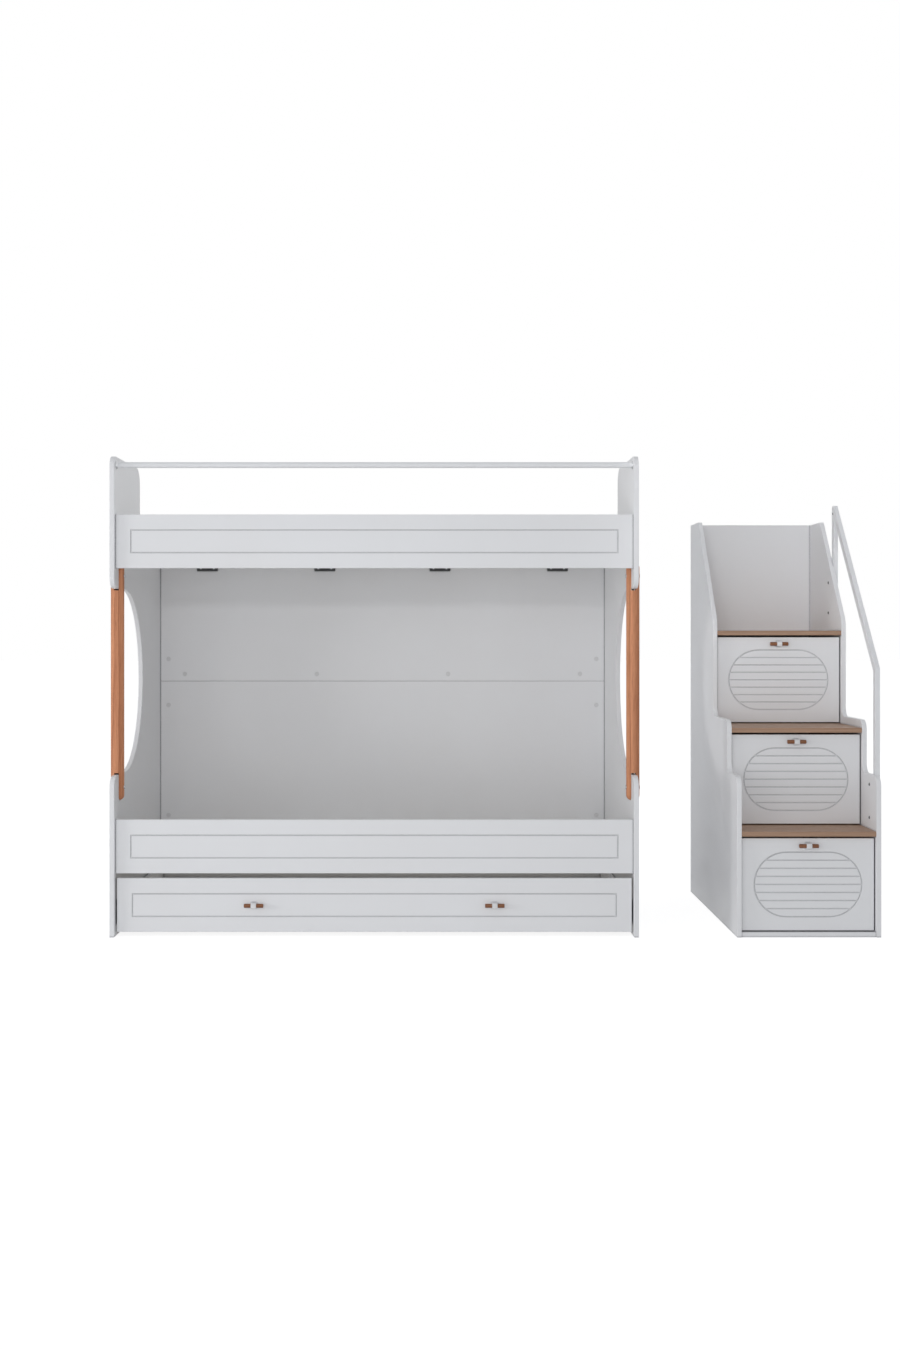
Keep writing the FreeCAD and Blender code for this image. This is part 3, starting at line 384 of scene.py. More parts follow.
skin, skin_in, skin_out = new_group(
    "fine skin", {"Vector": ("Vector", None), "Grain Scale": ("Float", 900.0)},
    {"Height": "Float", "Mottle": "Float", "Rub": "Float"})
surface = skin_in.outputs["Vector"]
peel = clouds(skin, surface, skin_in.outputs["Grain Scale"])
mottle = clouds(skin, surface, MOTTLE_SCALE, detail=3.0)
rub = clouds(skin, stretched(skin, surface, RUB_STRETCH), RUB_SCALE, detail=4.0, rough=0.6)
put_out(skin, skin_out, Height=peel, Mottle=mottle, Rub=rub)

# %% [markdown]
# ## Handled edges
# Corners are touched most. The Bevel node gives the normal that a rounded corner would have, so a corner
# is wherever that normal leaves the true one. Wear is never even, so clouds break the mask into patches.

# %% Group: handled edges
MASK_SAMPLES = 4
# Cosine between the two normals, from a flat face to well round a corner.
LEAN_SPAN = (0.995, 0.82)
PATCH_SCALE = 60.0
LEAST_PATCH = 0.35

edges, edges_in, edges_out = new_group(
    "handled edges", {"Vector": ("Vector", None), "Width": ("Float", 0.003)}, {"Mask": "Float"})
rounded = add(edges, "Bevel", Radius=edges_in.outputs["Width"])
rounded.samples = MASK_SAMPLES
facing = add(edges, "NewGeometry")
lean = edges.nodes.new("ShaderNodeVectorMath")
lean.operation = "DOT_PRODUCT"
edges.links.new(rounded.outputs[0], lean.inputs[0])
edges.links.new(facing.outputs["Normal"], lean.inputs[1])
patches = clouds(edges, edges_in.outputs["Vector"], PATCH_SCALE, detail=3.0)
patchy = evened(edges, patches, LEAST_PATCH, 1.0)
edge_mask = sums(edges, "MULTIPLY", across(edges, lean.outputs["Value"], *LEAN_SPAN), patchy)
put_out(edges, edges_out, Mask=edge_mask)

# %% [markdown]
# ## Shaded grooves: painted shade
# Routed grooves and the joints between boards are greyed as painted shade, standing in for their shadow.
# Ambient occlusion that looks only a few millimetres far finds both. It also greys a face wherever another
# part comes that near, and nothing has to be painted by hand.

# %% Group: shaded grooves
OPEN_SPAN = (0.4, 0.95)

grooves, grooves_in, grooves_out = new_group(
    "shaded grooves", {"Reach": ("Float", 0.008)}, {"Mask": "Float"})
open_air = add(grooves, "AmbientOcclusion", Distance=grooves_in.outputs["Reach"])
open_air.samples = MASK_SAMPLES
put_out(grooves, grooves_out, Mask=across(grooves, open_air.outputs["AO"], *OPEN_SPAN, 1.0, 0.0))

# %% [markdown]
# ## Settled dust
# A little dust settles where a surface looks up. The upward part of the normal says where, and a noise
# with much detail makes the specks.

# %% Group: settled dust
LEVEL_SPAN = (0.75, 1.0)
SPECK_SCALE = 38.0
SPECK_SPAN = (0.35, 0.75)

dust, dust_in, dust_out = new_group("settled dust", {"Vector": ("Vector", None)}, {"Mask": "Float"})
up = add(dust, "SeparateXYZ", Vector=add(dust, "NewGeometry").outputs["Normal"])
level_top = across(dust, up.outputs[2], *LEVEL_SPAN)
dust_noise = clouds(dust, dust_in.outputs["Vector"], SPECK_SCALE, detail=5.0, rough=0.7)
specks = across(dust, dust_noise, *SPECK_SPAN)
put_out(dust, dust_out, Mask=sums(dust, "MULTIPLY", level_top, specks))

# %% [markdown]
# ## Starting and ending a finish
# Every finish begins alike: a material named for its slot in the record, its shader, and coordinates that
# stay with the piece. Most end alike too, with a roughness that wanders and a small relief.

# %% Finish helpers
finishes = {}


def start_finish(slot):
    """New material for a slot with its tree, its shader and the piece's own coordinates."""
    material = bpy.data.materials.new(slot)
    material.use_nodes = True
    tree = material.node_tree
    shader = tree.nodes["Principled BSDF"]
    place = add(tree, "TexCoord").outputs["Object"]
    finishes[slot] = material
    return tree, shader, place


def add_roughness(tree, shader, noise, least, span):
    """Roughness that follows a noise, from its least value up by a span."""
    fill(tree, shader.inputs["Roughness"], evened(tree, noise, least, least + span))


def add_bump(tree, shader, height, strength, depth):
    """Small relief from a height value; strength is from 0 to 1 and depth is in metres."""
    raised = add(tree, "Bump", Height=height, Strength=strength, Distance=depth)
    tree.links.new(raised.outputs[0], shader.inputs["Normal"])


print("finish helpers ready")

# %% [markdown]
# ## White boards
# The bed is board under a satin white foil. A single white would look like paper, so the finish drifts
# between a cool and a slightly warmer white, takes painted shade in its grooves and joints, takes a faint
# dust on level tops, and turns a touch glossier and paler along handled edges. The paler tone there is
# partly wear and partly a painted highlight. The finish also carries the foil's fine skin as a bump.

# %% Finish: white boards
FOIL_GRAIN = 820.0
FOIL_EDGE = 0.003
# Reach, grey and share of the painted shade in grooves, joints and next to other parts.
GROOVE_SHADE_REACH = 0.008
GROOVE_SHADE_GREY = (0.30, 0.30, 0.32)
GROOVE_SHADE_SHARE = 0.9
BOARD_DUST = (0.52, 0.49, 0.45)
BOARD_DUST_SHARE = 0.05
# Paler edges on the white foil: partly worn foil, partly a painted highlight of edges catching light.
WORN_AND_HIGHLIT_EDGE_WHITE = (0.91, 0.91, 0.92)
WORN_AND_HIGHLIT_EDGE_SHARE = 0.25
EDGE_POLISH = -0.08
FOIL_SPAN = 0.09
FOIL_GLOSS = 0.45


def white_foil(slot, cool, warm, roughness):
    """Satin white foil on board."""
    tree, shader, place = start_finish(slot)
    film = use(tree, skin, Vector=place, Grain_Scale=FOIL_GRAIN)
    worn = use(tree, edges, Vector=place, Width=FOIL_EDGE).outputs["Mask"]
    groove_shade = use(tree, grooves, Reach=GROOVE_SHADE_REACH).outputs["Mask"]
    fallen = use(tree, dust, Vector=place).outputs["Mask"]
    white = tint(tree, evened(tree, film.outputs["Mottle"]), cool, warm)
    # Painted shade: the occlusion mask greys grooves, joints and faces near other parts.
    lined = glaze(tree, groove_shade, GROOVE_SHADE_SHARE, white, GROOVE_SHADE_GREY)
    dusty = glaze(tree, fallen, BOARD_DUST_SHARE, lined, BOARD_DUST)
    # Paler along handled edges: worn foil and a painted highlight where the rounded edges catch light.
    fill(tree, shader.inputs["Base Color"], glaze(tree, worn, WORN_AND_HIGHLIT_EDGE_SHARE, dusty, WORN_AND_HIGHLIT_EDGE_WHITE))
    satin = evened(tree, film.outputs["Rub"], roughness, roughness + FOIL_SPAN)
    fill(tree, shader.inputs["Roughness"], sums(tree, "MULTIPLY_ADD", worn, EDGE_POLISH, satin))
    shader.inputs["Specular IOR Level"].default_value = FOIL_GLOSS
    add_bump(tree, shader, film.outputs["Height"], strength=0.08, depth=0.0004)


white_foil("white_board", (0.862, 0.866, 0.880), (0.852, 0.852, 0.862), roughness=0.42)
white_foil("box_board", (0.70, 0.70, 0.71), (0.685, 0.68, 0.68), roughness=0.52)
print("white foils:", sorted(finishes))

# %% [markdown]
# ## Stained wood
# The posts are warm orange-brown timber under a satin lacquer, the handle dowels a darker stain of the
# same kind, and the slats pale whitewashed softwood. All three use the grain group. Only the way the
# grain runs, the colours and the lacquer differ, so one function makes them.

# %% Finish: stained wood
ALONG_HEIGHT = (0, 0, 0)
ALONG_LENGTH = (0, math.radians(90), 0)
ALONG_DEPTH = (math.radians(90), 0, 0)
STAIN_EDGE = 0.004
STAIN_FIGURE_SHARE = 0.55
STAIN_FIBRE_SPAN = (0.3, 0.75)
STAIN_FIBRE_SHARE = 0.5
PORE_SHARE = 0.45
DRIFT_STRETCH = (6.0, 6.0, 1.0)
DRIFT_SCALE = 1.7
DRIFT_SHARE = 0.22
STAIN_RUBBED_SHARE = 0.3
STAIN_SPAN = 0.12
STAIN_GLOSS = 0.15
LACQUER_ROUGHNESS = 0.28


def stained_wood(slot, run, pale, deep, pore, ring, fibre, roughness, lacquer):
    """Timber whose grain runs one way: figure and fibres mix two tones, pores add a third."""
    tree, shader, place = start_finish(slot)
    turned = add(tree, "Mapping", Vector=place, Rotation=run).outputs[0]
    wood = use(tree, grain, Vector=turned, Ring_Spacing=ring, Fibre_Scale=fibre)
    worn = use(tree, edges, Vector=place, Width=STAIN_EDGE).outputs["Mask"]
    streaks = across(tree, wood.outputs["Fibres"], *STAIN_FIBRE_SPAN, 0.0, STAIN_FIBRE_SHARE)
    tone = sums(tree, "MULTIPLY_ADD", wood.outputs["Figure"], STAIN_FIGURE_SHARE, streaks)
    lined = glaze(tree, wood.outputs["Pores"], PORE_SHARE, tint(tree, tone, pale, deep), pore)
    drift = evened(tree, clouds(tree, stretched(tree, turned, DRIFT_STRETCH), DRIFT_SCALE))
    aged = glaze(tree, drift, DRIFT_SHARE, lined, deep, "MULTIPLY")
    fill(tree, shader.inputs["Base Color"], glaze(tree, worn, STAIN_RUBBED_SHARE, aged, pale))
    add_roughness(tree, shader, wood.outputs["Fibres"], roughness, STAIN_SPAN)
    shader.inputs["Specular IOR Level"].default_value = STAIN_GLOSS
    shader.inputs["Coat Weight"].default_value = lacquer
    shader.inputs["Coat Roughness"].default_value = LACQUER_ROUGHNESS
    add_bump(tree, shader, wood.outputs["Height"], strength=0.25, depth=0.0006)


stained_wood("post_wood", ALONG_HEIGHT,
             (0.890, 0.418, 0.228), (0.360, 0.124, 0.055), (0.160, 0.052, 0.024),
             ring=0.022, fibre=420.0, roughness=0.52, lacquer=0.02)
stained_wood("handle_wood", ALONG_LENGTH,
             (0.345, 0.153, 0.077), (0.172, 0.071, 0.036), (0.062, 0.027, 0.016),
             ring=0.004, fibre=900.0, roughness=0.40, lacquer=0.15)
stained_wood("slat_wood", ALONG_DEPTH,
             (0.850, 0.835, 0.800), (0.800, 0.772, 0.722), (0.640, 0.585, 0.510),
             ring=0.014, fibre=360.0, roughness=0.60, lacquer=0.0)
print("stained woods:", [name for name in finishes if name.endswith("_wood")])

# %% [markdown]
# ## Printed wood boards
# The treads are board with a brown wood-grain print, and the trundle's floor is a paler one. A print is
# flatter than timber: the same grain without its pores, with almost no relief, under a matt film that
# takes some dust.

# %% Finish: printed wood boards
PRINT_RING = 0.017
PRINT_FIBRE = 300.0
PRINT_GRAIN = 1100.0
PRINT_EDGE = 0.003
PRINT_FIGURE_SHARE = 0.4
PRINT_FIBRE_SPAN = (0.25, 0.75)
PRINT_FIBRE_SHARE = 0.6
PRINT_DUST = (0.45, 0.42, 0.39)
PRINT_DUST_SHARE = 0.06
PRINT_RUBBED_SHARE = 0.35
PRINT_SPAN = 0.1


def printed_wood(slot, run, pale, deep, roughness):
    """Wood-grain print on board, with a matt film."""
    tree, shader, place = start_finish(slot)
    turned = add(tree, "Mapping", Vector=place, Rotation=run).outputs[0]
    wood = use(tree, grain, Vector=turned, Ring_Spacing=PRINT_RING, Fibre_Scale=PRINT_FIBRE)
    film = use(tree, skin, Vector=place, Grain_Scale=PRINT_GRAIN)
    worn = use(tree, edges, Vector=place, Width=PRINT_EDGE).outputs["Mask"]
    fallen = use(tree, dust, Vector=place).outputs["Mask"]
    streaks = across(tree, wood.outputs["Fibres"], *PRINT_FIBRE_SPAN, 0.0, PRINT_FIBRE_SHARE)
    tone = sums(tree, "MULTIPLY_ADD", wood.outputs["Figure"], PRINT_FIGURE_SHARE, streaks)
    dusty = glaze(tree, fallen, PRINT_DUST_SHARE, tint(tree, tone, pale, deep), PRINT_DUST)
    fill(tree, shader.inputs["Base Color"], glaze(tree, worn, PRINT_RUBBED_SHARE, dusty, pale))
    add_roughness(tree, shader, film.outputs["Rub"], roughness, PRINT_SPAN)
    add_bump(tree, shader, wood.outputs["Height"], strength=0.06, depth=0.0003)


printed_wood("tread_wood", ALONG_LENGTH, (0.480, 0.304, 0.205), (0.235, 0.128, 0.074), roughness=0.46)
printed_wood("brown_board", ALONG_LENGTH, (0.800, 0.740, 0.670), (0.700, 0.632, 0.552), roughness=0.50)
print("printed woods: tread_wood, brown_board")

# %% [markdown]
# ## Painted steel
# The guard tube and the handrail are powder coated: a pebbled white skin. The brackets under the bunks
# are dark paint over pressed steel, with the metal showing through at their corners. One function makes
# both, and only the dark one is told what bare metal looks like.

# %% Finish: painted steel
COAT_GRAIN = 620.0
COAT_EDGE = 0.0025
RUBBED_SPAN = (0.55, 0.9)
COAT_SPAN = 0.1


def powder_coat(slot, pale, deep, roughness, bare=None):
    """Pebbled paint on steel; bare is the metal's colour where corners are rubbed through."""
    tree, shader, place = start_finish(slot)
    film = use(tree, skin, Vector=place, Grain_Scale=COAT_GRAIN)
    paint = tint(tree, evened(tree, film.outputs["Mottle"]), pale, deep)
    if bare:
        worn = use(tree, edges, Vector=place, Width=COAT_EDGE).outputs["Mask"]
        rubbed = across(tree, worn, *RUBBED_SPAN)
        paint = tint(tree, rubbed, paint, bare)
        fill(tree, shader.inputs["Metallic"], rubbed)
    fill(tree, shader.inputs["Base Color"], paint)
    add_roughness(tree, shader, film.outputs["Rub"], roughness, COAT_SPAN)
    add_bump(tree, shader, film.outputs["Height"], strength=0.03, depth=0.0003)


powder_coat("white_tube", (0.868, 0.876, 0.892), (0.850, 0.856, 0.868), roughness=0.36)
powder_coat("dark_steel", (0.075, 0.076, 0.080), (0.050, 0.050, 0.054), roughness=0.45,
            bare=(0.42, 0.42, 0.43))
print("painted steels: white_tube, dark_steel")

# %% [markdown]
# ## Plated steel
# Runners, forks, bolts and sockets are zinc plated. The crystals of the plating give small patches of
# slightly different grey, so the cells of a Voronoi texture stand for them, over faint lines from drawing
# the steel.

# %% Finish: plated steel
CRYSTAL_SCALE = 260.0
DRAWN_STRETCH = (1.0, 0.03, 1.0)
DRAWN_SCALE = 900.0
DRAWN_SHARE = 0.5
CRYSTAL_SHARE = 0.5
ZINC_DEEP = (0.50, 0.51, 0.53)
ZINC_PALE = (0.68, 0.69, 0.70)
ZINC_TONE_SPAN = (0.2, 0.8)
ZINC_ROUGHNESS = (0.28, 0.46)


def zinc_plate(slot):
    """Plated steel: its tone comes from patches of crystals and from faint drawn lines."""
    tree, shader, place = start_finish(slot)
    crystals = add(tree, "TexVoronoi", Vector=place, Scale=CRYSTAL_SCALE)
    patch = add(tree, "SeparateColor", Color=crystals.outputs["Color"]).outputs[0]
    lines = clouds(tree, stretched(tree, place, DRAWN_STRETCH), DRAWN_SCALE)
    patch_tone = sums(tree, "MULTIPLY", patch, CRYSTAL_SHARE)
    tone = sums(tree, "MULTIPLY_ADD", lines, DRAWN_SHARE, patch_tone)
    fill(tree, shader.inputs["Base Color"], tint(tree, tone, ZINC_DEEP, ZINC_PALE))
    fill(tree, shader.inputs["Roughness"], across(tree, tone, *ZINC_TONE_SPAN, *ZINC_ROUGHNESS))
    shader.inputs["Metallic"].default_value = 1.0
    add_bump(tree, shader, lines, strength=0.1, depth=0.0002)


zinc_plate("zinc_steel")
print("plated steel: zinc_steel")

# %% [markdown]
# ## Plastic and painted blocks
# Cam caps and tube caps are moulded white plastic, the wheels a dark hard plastic with dust rubbed into
# it, and the handle blocks painted wood. Moulded skins are finer than paint, so the grain scale goes up.

# %% Finish: plastic and paint
MOULD_EDGE = 0.0015
MOULD_DUST = (0.50, 0.48, 0.45)
MOULD_DUST_SPAN = (0.4, 0.75)
MOULD_EDGE_SHARE = 0.2
MOULD_SPAN = 0.12


def moulded(slot, pale, deep, roughness, grain_scale, dust_share):
    """Moulded plastic or smooth paint with a fine skin and some dust."""
    tree, shader, place = start_finish(slot)
    film = use(tree, skin, Vector=place, Grain_Scale=grain_scale)
    worn = use(tree, edges, Vector=place, Width=MOULD_EDGE).outputs["Mask"]
    rubbed_in = across(tree, film.outputs["Rub"], *MOULD_DUST_SPAN, 0.0, dust_share)
    body = tint(tree, evened(tree, film.outputs["Mottle"]), pale, deep)
    dusty = tint(tree, rubbed_in, body, MOULD_DUST)
    fill(tree, shader.inputs["Base Color"], glaze(tree, worn, MOULD_EDGE_SHARE, dusty, pale, "SCREEN"))
    add_roughness(tree, shader, film.outputs["Rub"], roughness, MOULD_SPAN)
    add_bump(tree, shader, film.outputs["Height"], strength=0.1, depth=0.0003)


moulded("white_plastic", (0.74, 0.74, 0.75), (0.71, 0.71, 0.715),
        roughness=0.42, grain_scale=1500.0, dust_share=0.03)
moulded("white_block", (0.78, 0.78, 0.79), (0.76, 0.755, 0.76),
        roughness=0.34, grain_scale=1200.0, dust_share=0.02)
moulded("caster_wheel", (0.030, 0.030, 0.032), (0.018, 0.018, 0.020),
        roughness=0.5, grain_scale=1400.0, dust_share=0.15)
print("plastic and paint: white_plastic, white_block, caster_wheel")

# %% [markdown]
# ## Dressing the frame
# Every node of the frame names a finish in the record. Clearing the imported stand-in colour and assigning
# the finish of the same name dresses all of them in one pass.

# %% Dress the frame's nodes
slot_of_node = {part["node"]: part["material_slot"] for part in frame["record"]["subparts"]}
for name, node in frame["nodes"].items():
    node.data.materials.clear()
    node.data.materials.append(finishes[slot_of_node[name]])
print("dressed", len(slot_of_node), "nodes in", len(set(slot_of_node.values())), "finishes")

# %% [markdown]
# ## Turned fittings
# Bolt heads, screw heads, caps, sockets and wheels are turned shapes: a profile of radii and heights
# carried round an axis. One function works out the whole grid at once. A profile that closes on the axis
# gets a single pole there, and a profile that closes on itself becomes a ring. A hexagon key is the same
# turning with the radius multiplied by how far a hexagon's side lies at that angle.

# %% Turning helpers
def around(sides):
    """Angles of equal steps round an axis."""
    return np.arange(sides) * (2 * math.pi / sides)


def hexagon(angle):
    """Distance from the middle to a hexagon's side at an angle, where its corners lie at 1."""
    return math.cos(math.pi / 6) / np.cos(np.mod(angle, math.pi / 3) - math.pi / 6)


def turned_grid(profile, sides):
    """Points (row, side, 3): row i lies at height h_i, at radius r_i (1 - k_i + k_i hexagon(angle)).

    profile holds rows of radius, height and share of hexagon k.
    """
    radius, rise, hex_share = np.asarray(profile, float).T[:, :, None]
    angle = around(sides)[None, :]
    reach = radius * (1 - hex_share + hex_share * hexagon(angle))
    return np.stack([reach * np.cos(angle), reach * np.sin(angle), rise + 0 * angle], axis=-1)


def grid_faces(rows, sides, ring):
    """Corner numbers of four-sided faces between rows, closed round the sides and, for a ring, the rows."""
    row = np.arange(rows if ring else rows - 1)[:, None]
    side = np.arange(sides)[None, :]
    after_row = (row + 1) % rows
    after_side = (side + 1) % sides
    corners = [row * sides + side, row * sides + after_side, after_row * sides + after_side,
               after_row * sides + side]
    return np.stack([c + 0 * row * side for c in corners], axis=-1).reshape(-1, 4)


def turned_shape(profile, sides, ring=False):
    """Points and faces of a turned shape; an open profile is closed by a pole at each end."""
    points = turned_grid(profile, sides).reshape(-1, 3)
    rows = len(profile)
    quads = grid_faces(rows, sides, ring)
    if ring:
        return points, [quads]
    poles = np.array([[0, 0, profile[0][1]], [0, 0, profile[-1][1]]], float)
    first_pole = rows * sides
    last_row = (rows - 1) * sides
    side = np.arange(sides)
    after = (side + 1) % sides
    start_fan = np.stack([after, side, np.full(sides, first_pole)], axis=-1)
    end_fan = np.stack([last_row + side, last_row + after, np.full(sides, first_pole + 1)], axis=-1)
    return np.vstack([points, poles]), [quads, start_fan, end_fan]


print("turning helpers ready")

# %% [markdown]
# ## Setting fittings in place
# A fitting is worked out once, standing on its foot with Z upwards. Its copies are turned to the way they
# look and moved to their spots in one sum over whole arrays, so a row of screws takes no more code than
# one. The place goes into the mesh, and the object itself stays at the origin.

# %% Placing helpers
SHARP_DEGREES = 32
AXIS_TURNS = {
    "+x": np.array([[0, 0, 1], [1, 0, 0], [0, 1, 0]], float),
    "-x": np.array([[0, 0, -1], [-1, 0, 0], [0, 1, 0]], float),
    "+y": np.array([[1, 0, 0], [0, 0, 1], [0, -1, 0]], float),
    "-y": np.array([[1, 0, 0], [0, 0, -1], [0, 1, 0]], float),
    "+z": np.eye(3),
    "-z": np.array([[1, 0, 0], [0, -1, 0], [0, 0, -1]], float),
}


def stand_copies(shape, places):
    """Copies of a shape, its Z turned to a named axis: places holds (axis name, (x, y, z))."""
    points, face_sets = shape
    turns = np.stack([AXIS_TURNS[axis] for axis, spot in places])
    spots = np.array([spot for axis, spot in places], float)
    copies = np.einsum("cij,pj->cpi", turns, points) + spots[:, None, :]
    step = np.arange(len(places))[:, None, None] * len(points)
    return copies.reshape(-1, 3), [(faces[None] + step).reshape(-1, faces.shape[1]) for faces in face_sets]


def make_piece(name, shape, places, slot, body):
    """Mesh object at the origin from copies of a shape, smooth but for its sharp edges."""
    points, face_sets = stand_copies(shape, places)
    mesh = bpy.data.meshes.new(name)
    mesh.from_pydata(points.tolist(), [], [face for faces in face_sets for face in faces.tolist()])
    mesh.validate()
    mesh.shade_smooth()
    mesh.set_sharp_from_angle(angle=math.radians(SHARP_DEGREES))
    mesh.materials.append(finishes[slot])
    piece = bpy.data.objects.new(name, mesh)
    scene.collection.objects.link(piece)
    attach(piece, body)
    print(name, "has", len(mesh.polygons), "faces")
    return piece


print("copies can look along", ", ".join(AXIS_TURNS))

# %% [markdown]
# ## Post bolts
# Each wooden post is pinned to the bed end by a sleeve bolt. Its domed head shows inside the bed, with a
# hexagon key in it, and its nut lies almost flush outside. The plain solid has flat heads, so turned
# heads with a key recess take its place.

# %% Post bolts
STILL = "bed_and_stairs"
BOLT_HEAD_RISE = 0.0035
BOLT_NUT_RISE = 0.0008
BOLT_KEY = 0.003
BOLT_SIDES = 36
DOME_SHARES = [(0.96, 0.0), (1.0, 0.12), (1.0, 0.42), (0.95, 0.68), (0.82, 0.88), (0.66, 1.0)]
RECESS_SHARES = [(1.06, 1.0), (1.0, 0.94), (0.97, 0.28)]


def key_head(radius, rise, key, sides):
    """Domed head with a hexagon recess, turned from its foot to the middle of the recess.

    The dome is in shares of the radius and the rise, the recess in shares of the key and the rise.
    """
    dome = [(radius * out, rise * up, 0) for out, up in DOME_SHARES]
    recess = [(key * out, rise * up, 1) for out, up in RECESS_SHARES]
    return turned_shape(dome + recess, sides)


bolt_low, bolt_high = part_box("post_bolts")
bolt_radius = (bolt_high.y - bolt_low.y) / 2
bolt_y = (bolt_low.y + bolt_high.y) / 2
bolt_heights = (bolt_low.z + bolt_radius, bolt_high.z - bolt_radius)
left_outside, left_inside = [corner.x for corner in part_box("left_post")]
right_inside, right_outside = [corner.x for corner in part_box("right_post")]
head_spots = [(axis, (x, bolt_y, height)) for height in bolt_heights
              for axis, x in (("+x", left_inside), ("-x", right_inside))]
nut_spots = [(axis, (x, bolt_y, height)) for height in bolt_heights
             for axis, x in (("-x", left_outside), ("+x", right_outside))]
head_shape = key_head(bolt_radius, BOLT_HEAD_RISE, BOLT_KEY, BOLT_SIDES)
nut_shape = key_head(bolt_radius, BOLT_NUT_RISE, BOLT_KEY, BOLT_SIDES)
post_bolt_heads = make_piece("post_bolt_heads", head_shape, head_spots, "zinc_steel", STILL)
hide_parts("post_bolts")
make_piece("post_bolt_nuts", nut_shape, nut_spots, "zinc_steel", STILL)

# %% [markdown]
# ## Finding the small fittings
# Caps, screws and brackets are packed many to a node, and a node's box spans them all. To set a turned
# fitting on each one, a node's triangles are sorted into separate solids: corners in one place count as
# one point, and every triangle hands on the lowest label of its corners until no label changes.

# %% Separate solids of a node
WELD_DIGITS = 5


def solids_of(node):
    """Lowest and highest corner of each separate solid in a node, as an array (solid, 2, 3)."""
    mesh = frame["nodes"][node].data
    flat_spots = np.empty(len(mesh.vertices) * 3, np.float32)
    mesh.vertices.foreach_get("co", flat_spots)
    spots = flat_spots.reshape(-1, 3).astype(float)
    corners = np.empty(len(mesh.loops), np.int32)
    mesh.loops.foreach_get("vertex_index", corners)
    point = np.unique(np.round(spots, WELD_DIGITS), axis=0, return_inverse=True)[1].reshape(-1)
    faces = point[corners].reshape(-1, 3)
    label = np.arange(point.max() + 1)
    settled = False
    while not settled:
        handed = label.copy()
        np.minimum.at(handed, faces, label[faces].min(axis=1, keepdims=True))
        settled = np.array_equal(handed, label)
        label = handed
    owner = np.unique(label[point], return_inverse=True)[1]
    low = np.full((owner.max() + 1, 3), np.inf)
    high = -low
    np.minimum.at(low, owner, spots)
    np.maximum.at(high, owner, spots)
    return np.stack([low, high], axis=1)


cap_boxes = solids_of("cam_caps")
bracket_boxes = solids_of("base_brackets")
print(len(cap_boxes), "caps,", len(bracket_boxes), "brackets")

# %% [markdown]
# ## Cam caps
# A white plastic cap hides each cam lock. Up close it is a shallow dome with a rolled rim and a small
# dimple left by the mould, so it is turned from that profile. Caps on the rails look to the back, caps on
# the back boards look to the front.

# %% Cam caps
CAP_RISE = 0.001
CAP_SIDES = 32
# From the rim over the dome to the dimple, in shares of the cap's radius and its rise.
CAP_SHARES = [(0.985, 0.0), (1.0, 0.3), (0.97, 0.62), (0.86, 0.84),
              (0.60, 0.97), (0.30, 1.0), (0.20, 0.96), (0.15, 0.55)]

cap_radius = float(cap_boxes[0, 1, 0] - cap_boxes[0, 0, 0]) / 2
cap_spots = []
for low, high in cap_boxes:
    middle = (low + high) / 2
    if middle[1] < 0:
        cap_spots.append(("+y", (middle[0], high[1] - CAP_RISE, middle[2])))
    else:
        cap_spots.append(("-y", (middle[0], low[1] + CAP_RISE, middle[2])))
cap_profile = [(cap_radius * out, CAP_RISE * up, 0) for out, up in CAP_SHARES]
cap_shape = turned_shape(cap_profile, CAP_SIDES)
cam_cap_domes = make_piece("cam_cap_domes", cap_shape, cap_spots, "white_plastic", STILL)
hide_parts("cam_caps")

# %% [markdown]
# ## Handrail screws
# The handrail is held from inside the stairs by four screws with hexagon keys, and one more joins its top
# to the upright. They are the domed key head of the post bolts, made smaller.

# %% Handrail screws
RAIL_KEY = 0.0026
RAIL_SCREW_SIDES = 30
JOINT_DROP = 0.012
# Radius, rise and key of a screw head.
JOINT_SCREW = (0.0048, 0.0016, 0.0024)

rail_screw_boxes = solids_of("handrail_screws")
rail_head_radius = float(rail_screw_boxes[0, 1, 1] - rail_screw_boxes[0, 0, 1]) / 2
panel_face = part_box("stair_right_panel")[0].x
rail_screw_rise = panel_face - float(rail_screw_boxes[:, 0, 0].min())
rail_screw_spots = [("-x", (panel_face, *((low + high) / 2)[1:])) for low, high in rail_screw_boxes]
rail_screw_shape = key_head(rail_head_radius, rail_screw_rise, RAIL_KEY, RAIL_SCREW_SIDES)
handrail_screw_heads = make_piece("handrail_screw_heads", rail_screw_shape, rail_screw_spots,
                                  "dark_steel", STILL)
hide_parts("handrail_screws")

upright_low, upright_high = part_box("handrail_upright")
joint_spot = (upright_low.x, (upright_low.y + upright_high.y) / 2, upright_high.z - JOINT_DROP)
joint_shape = key_head(*JOINT_SCREW, RAIL_SCREW_SIDES)
make_piece("handrail_joint_screw", joint_shape, [("-x", joint_spot)], "dark_steel", STILL)

# %% [markdown]
# ## Bracket screws
# Each folded bracket hangs on its rail or back board by two screws, side by side. They are small and
# repeated, so the key head is turned with fewer sides.

# %% Bracket screws
BRACKET_PLATE = 0.003
BRACKET_SCREW_SPREAD = 0.028
BRACKET_SCREW = (0.0045, 0.0022, 0.002)
BRACKET_SCREW_SIDES = 24

bracket_spots = []
for low, high in bracket_boxes:
    middle = (low + high) / 2
    for aside in (-BRACKET_SCREW_SPREAD, BRACKET_SCREW_SPREAD):
        if middle[1] < 0:
            bracket_spots.append(("+y", (middle[0] + aside, low[1] + BRACKET_PLATE, middle[2])))
        else:
            bracket_spots.append(("-y", (middle[0] + aside, high[1] - BRACKET_PLATE, middle[2])))
bracket_screw_shape = key_head(*BRACKET_SCREW, BRACKET_SCREW_SIDES)
make_piece("bracket_screws", bracket_screw_shape, bracket_spots, "zinc_steel", STILL)

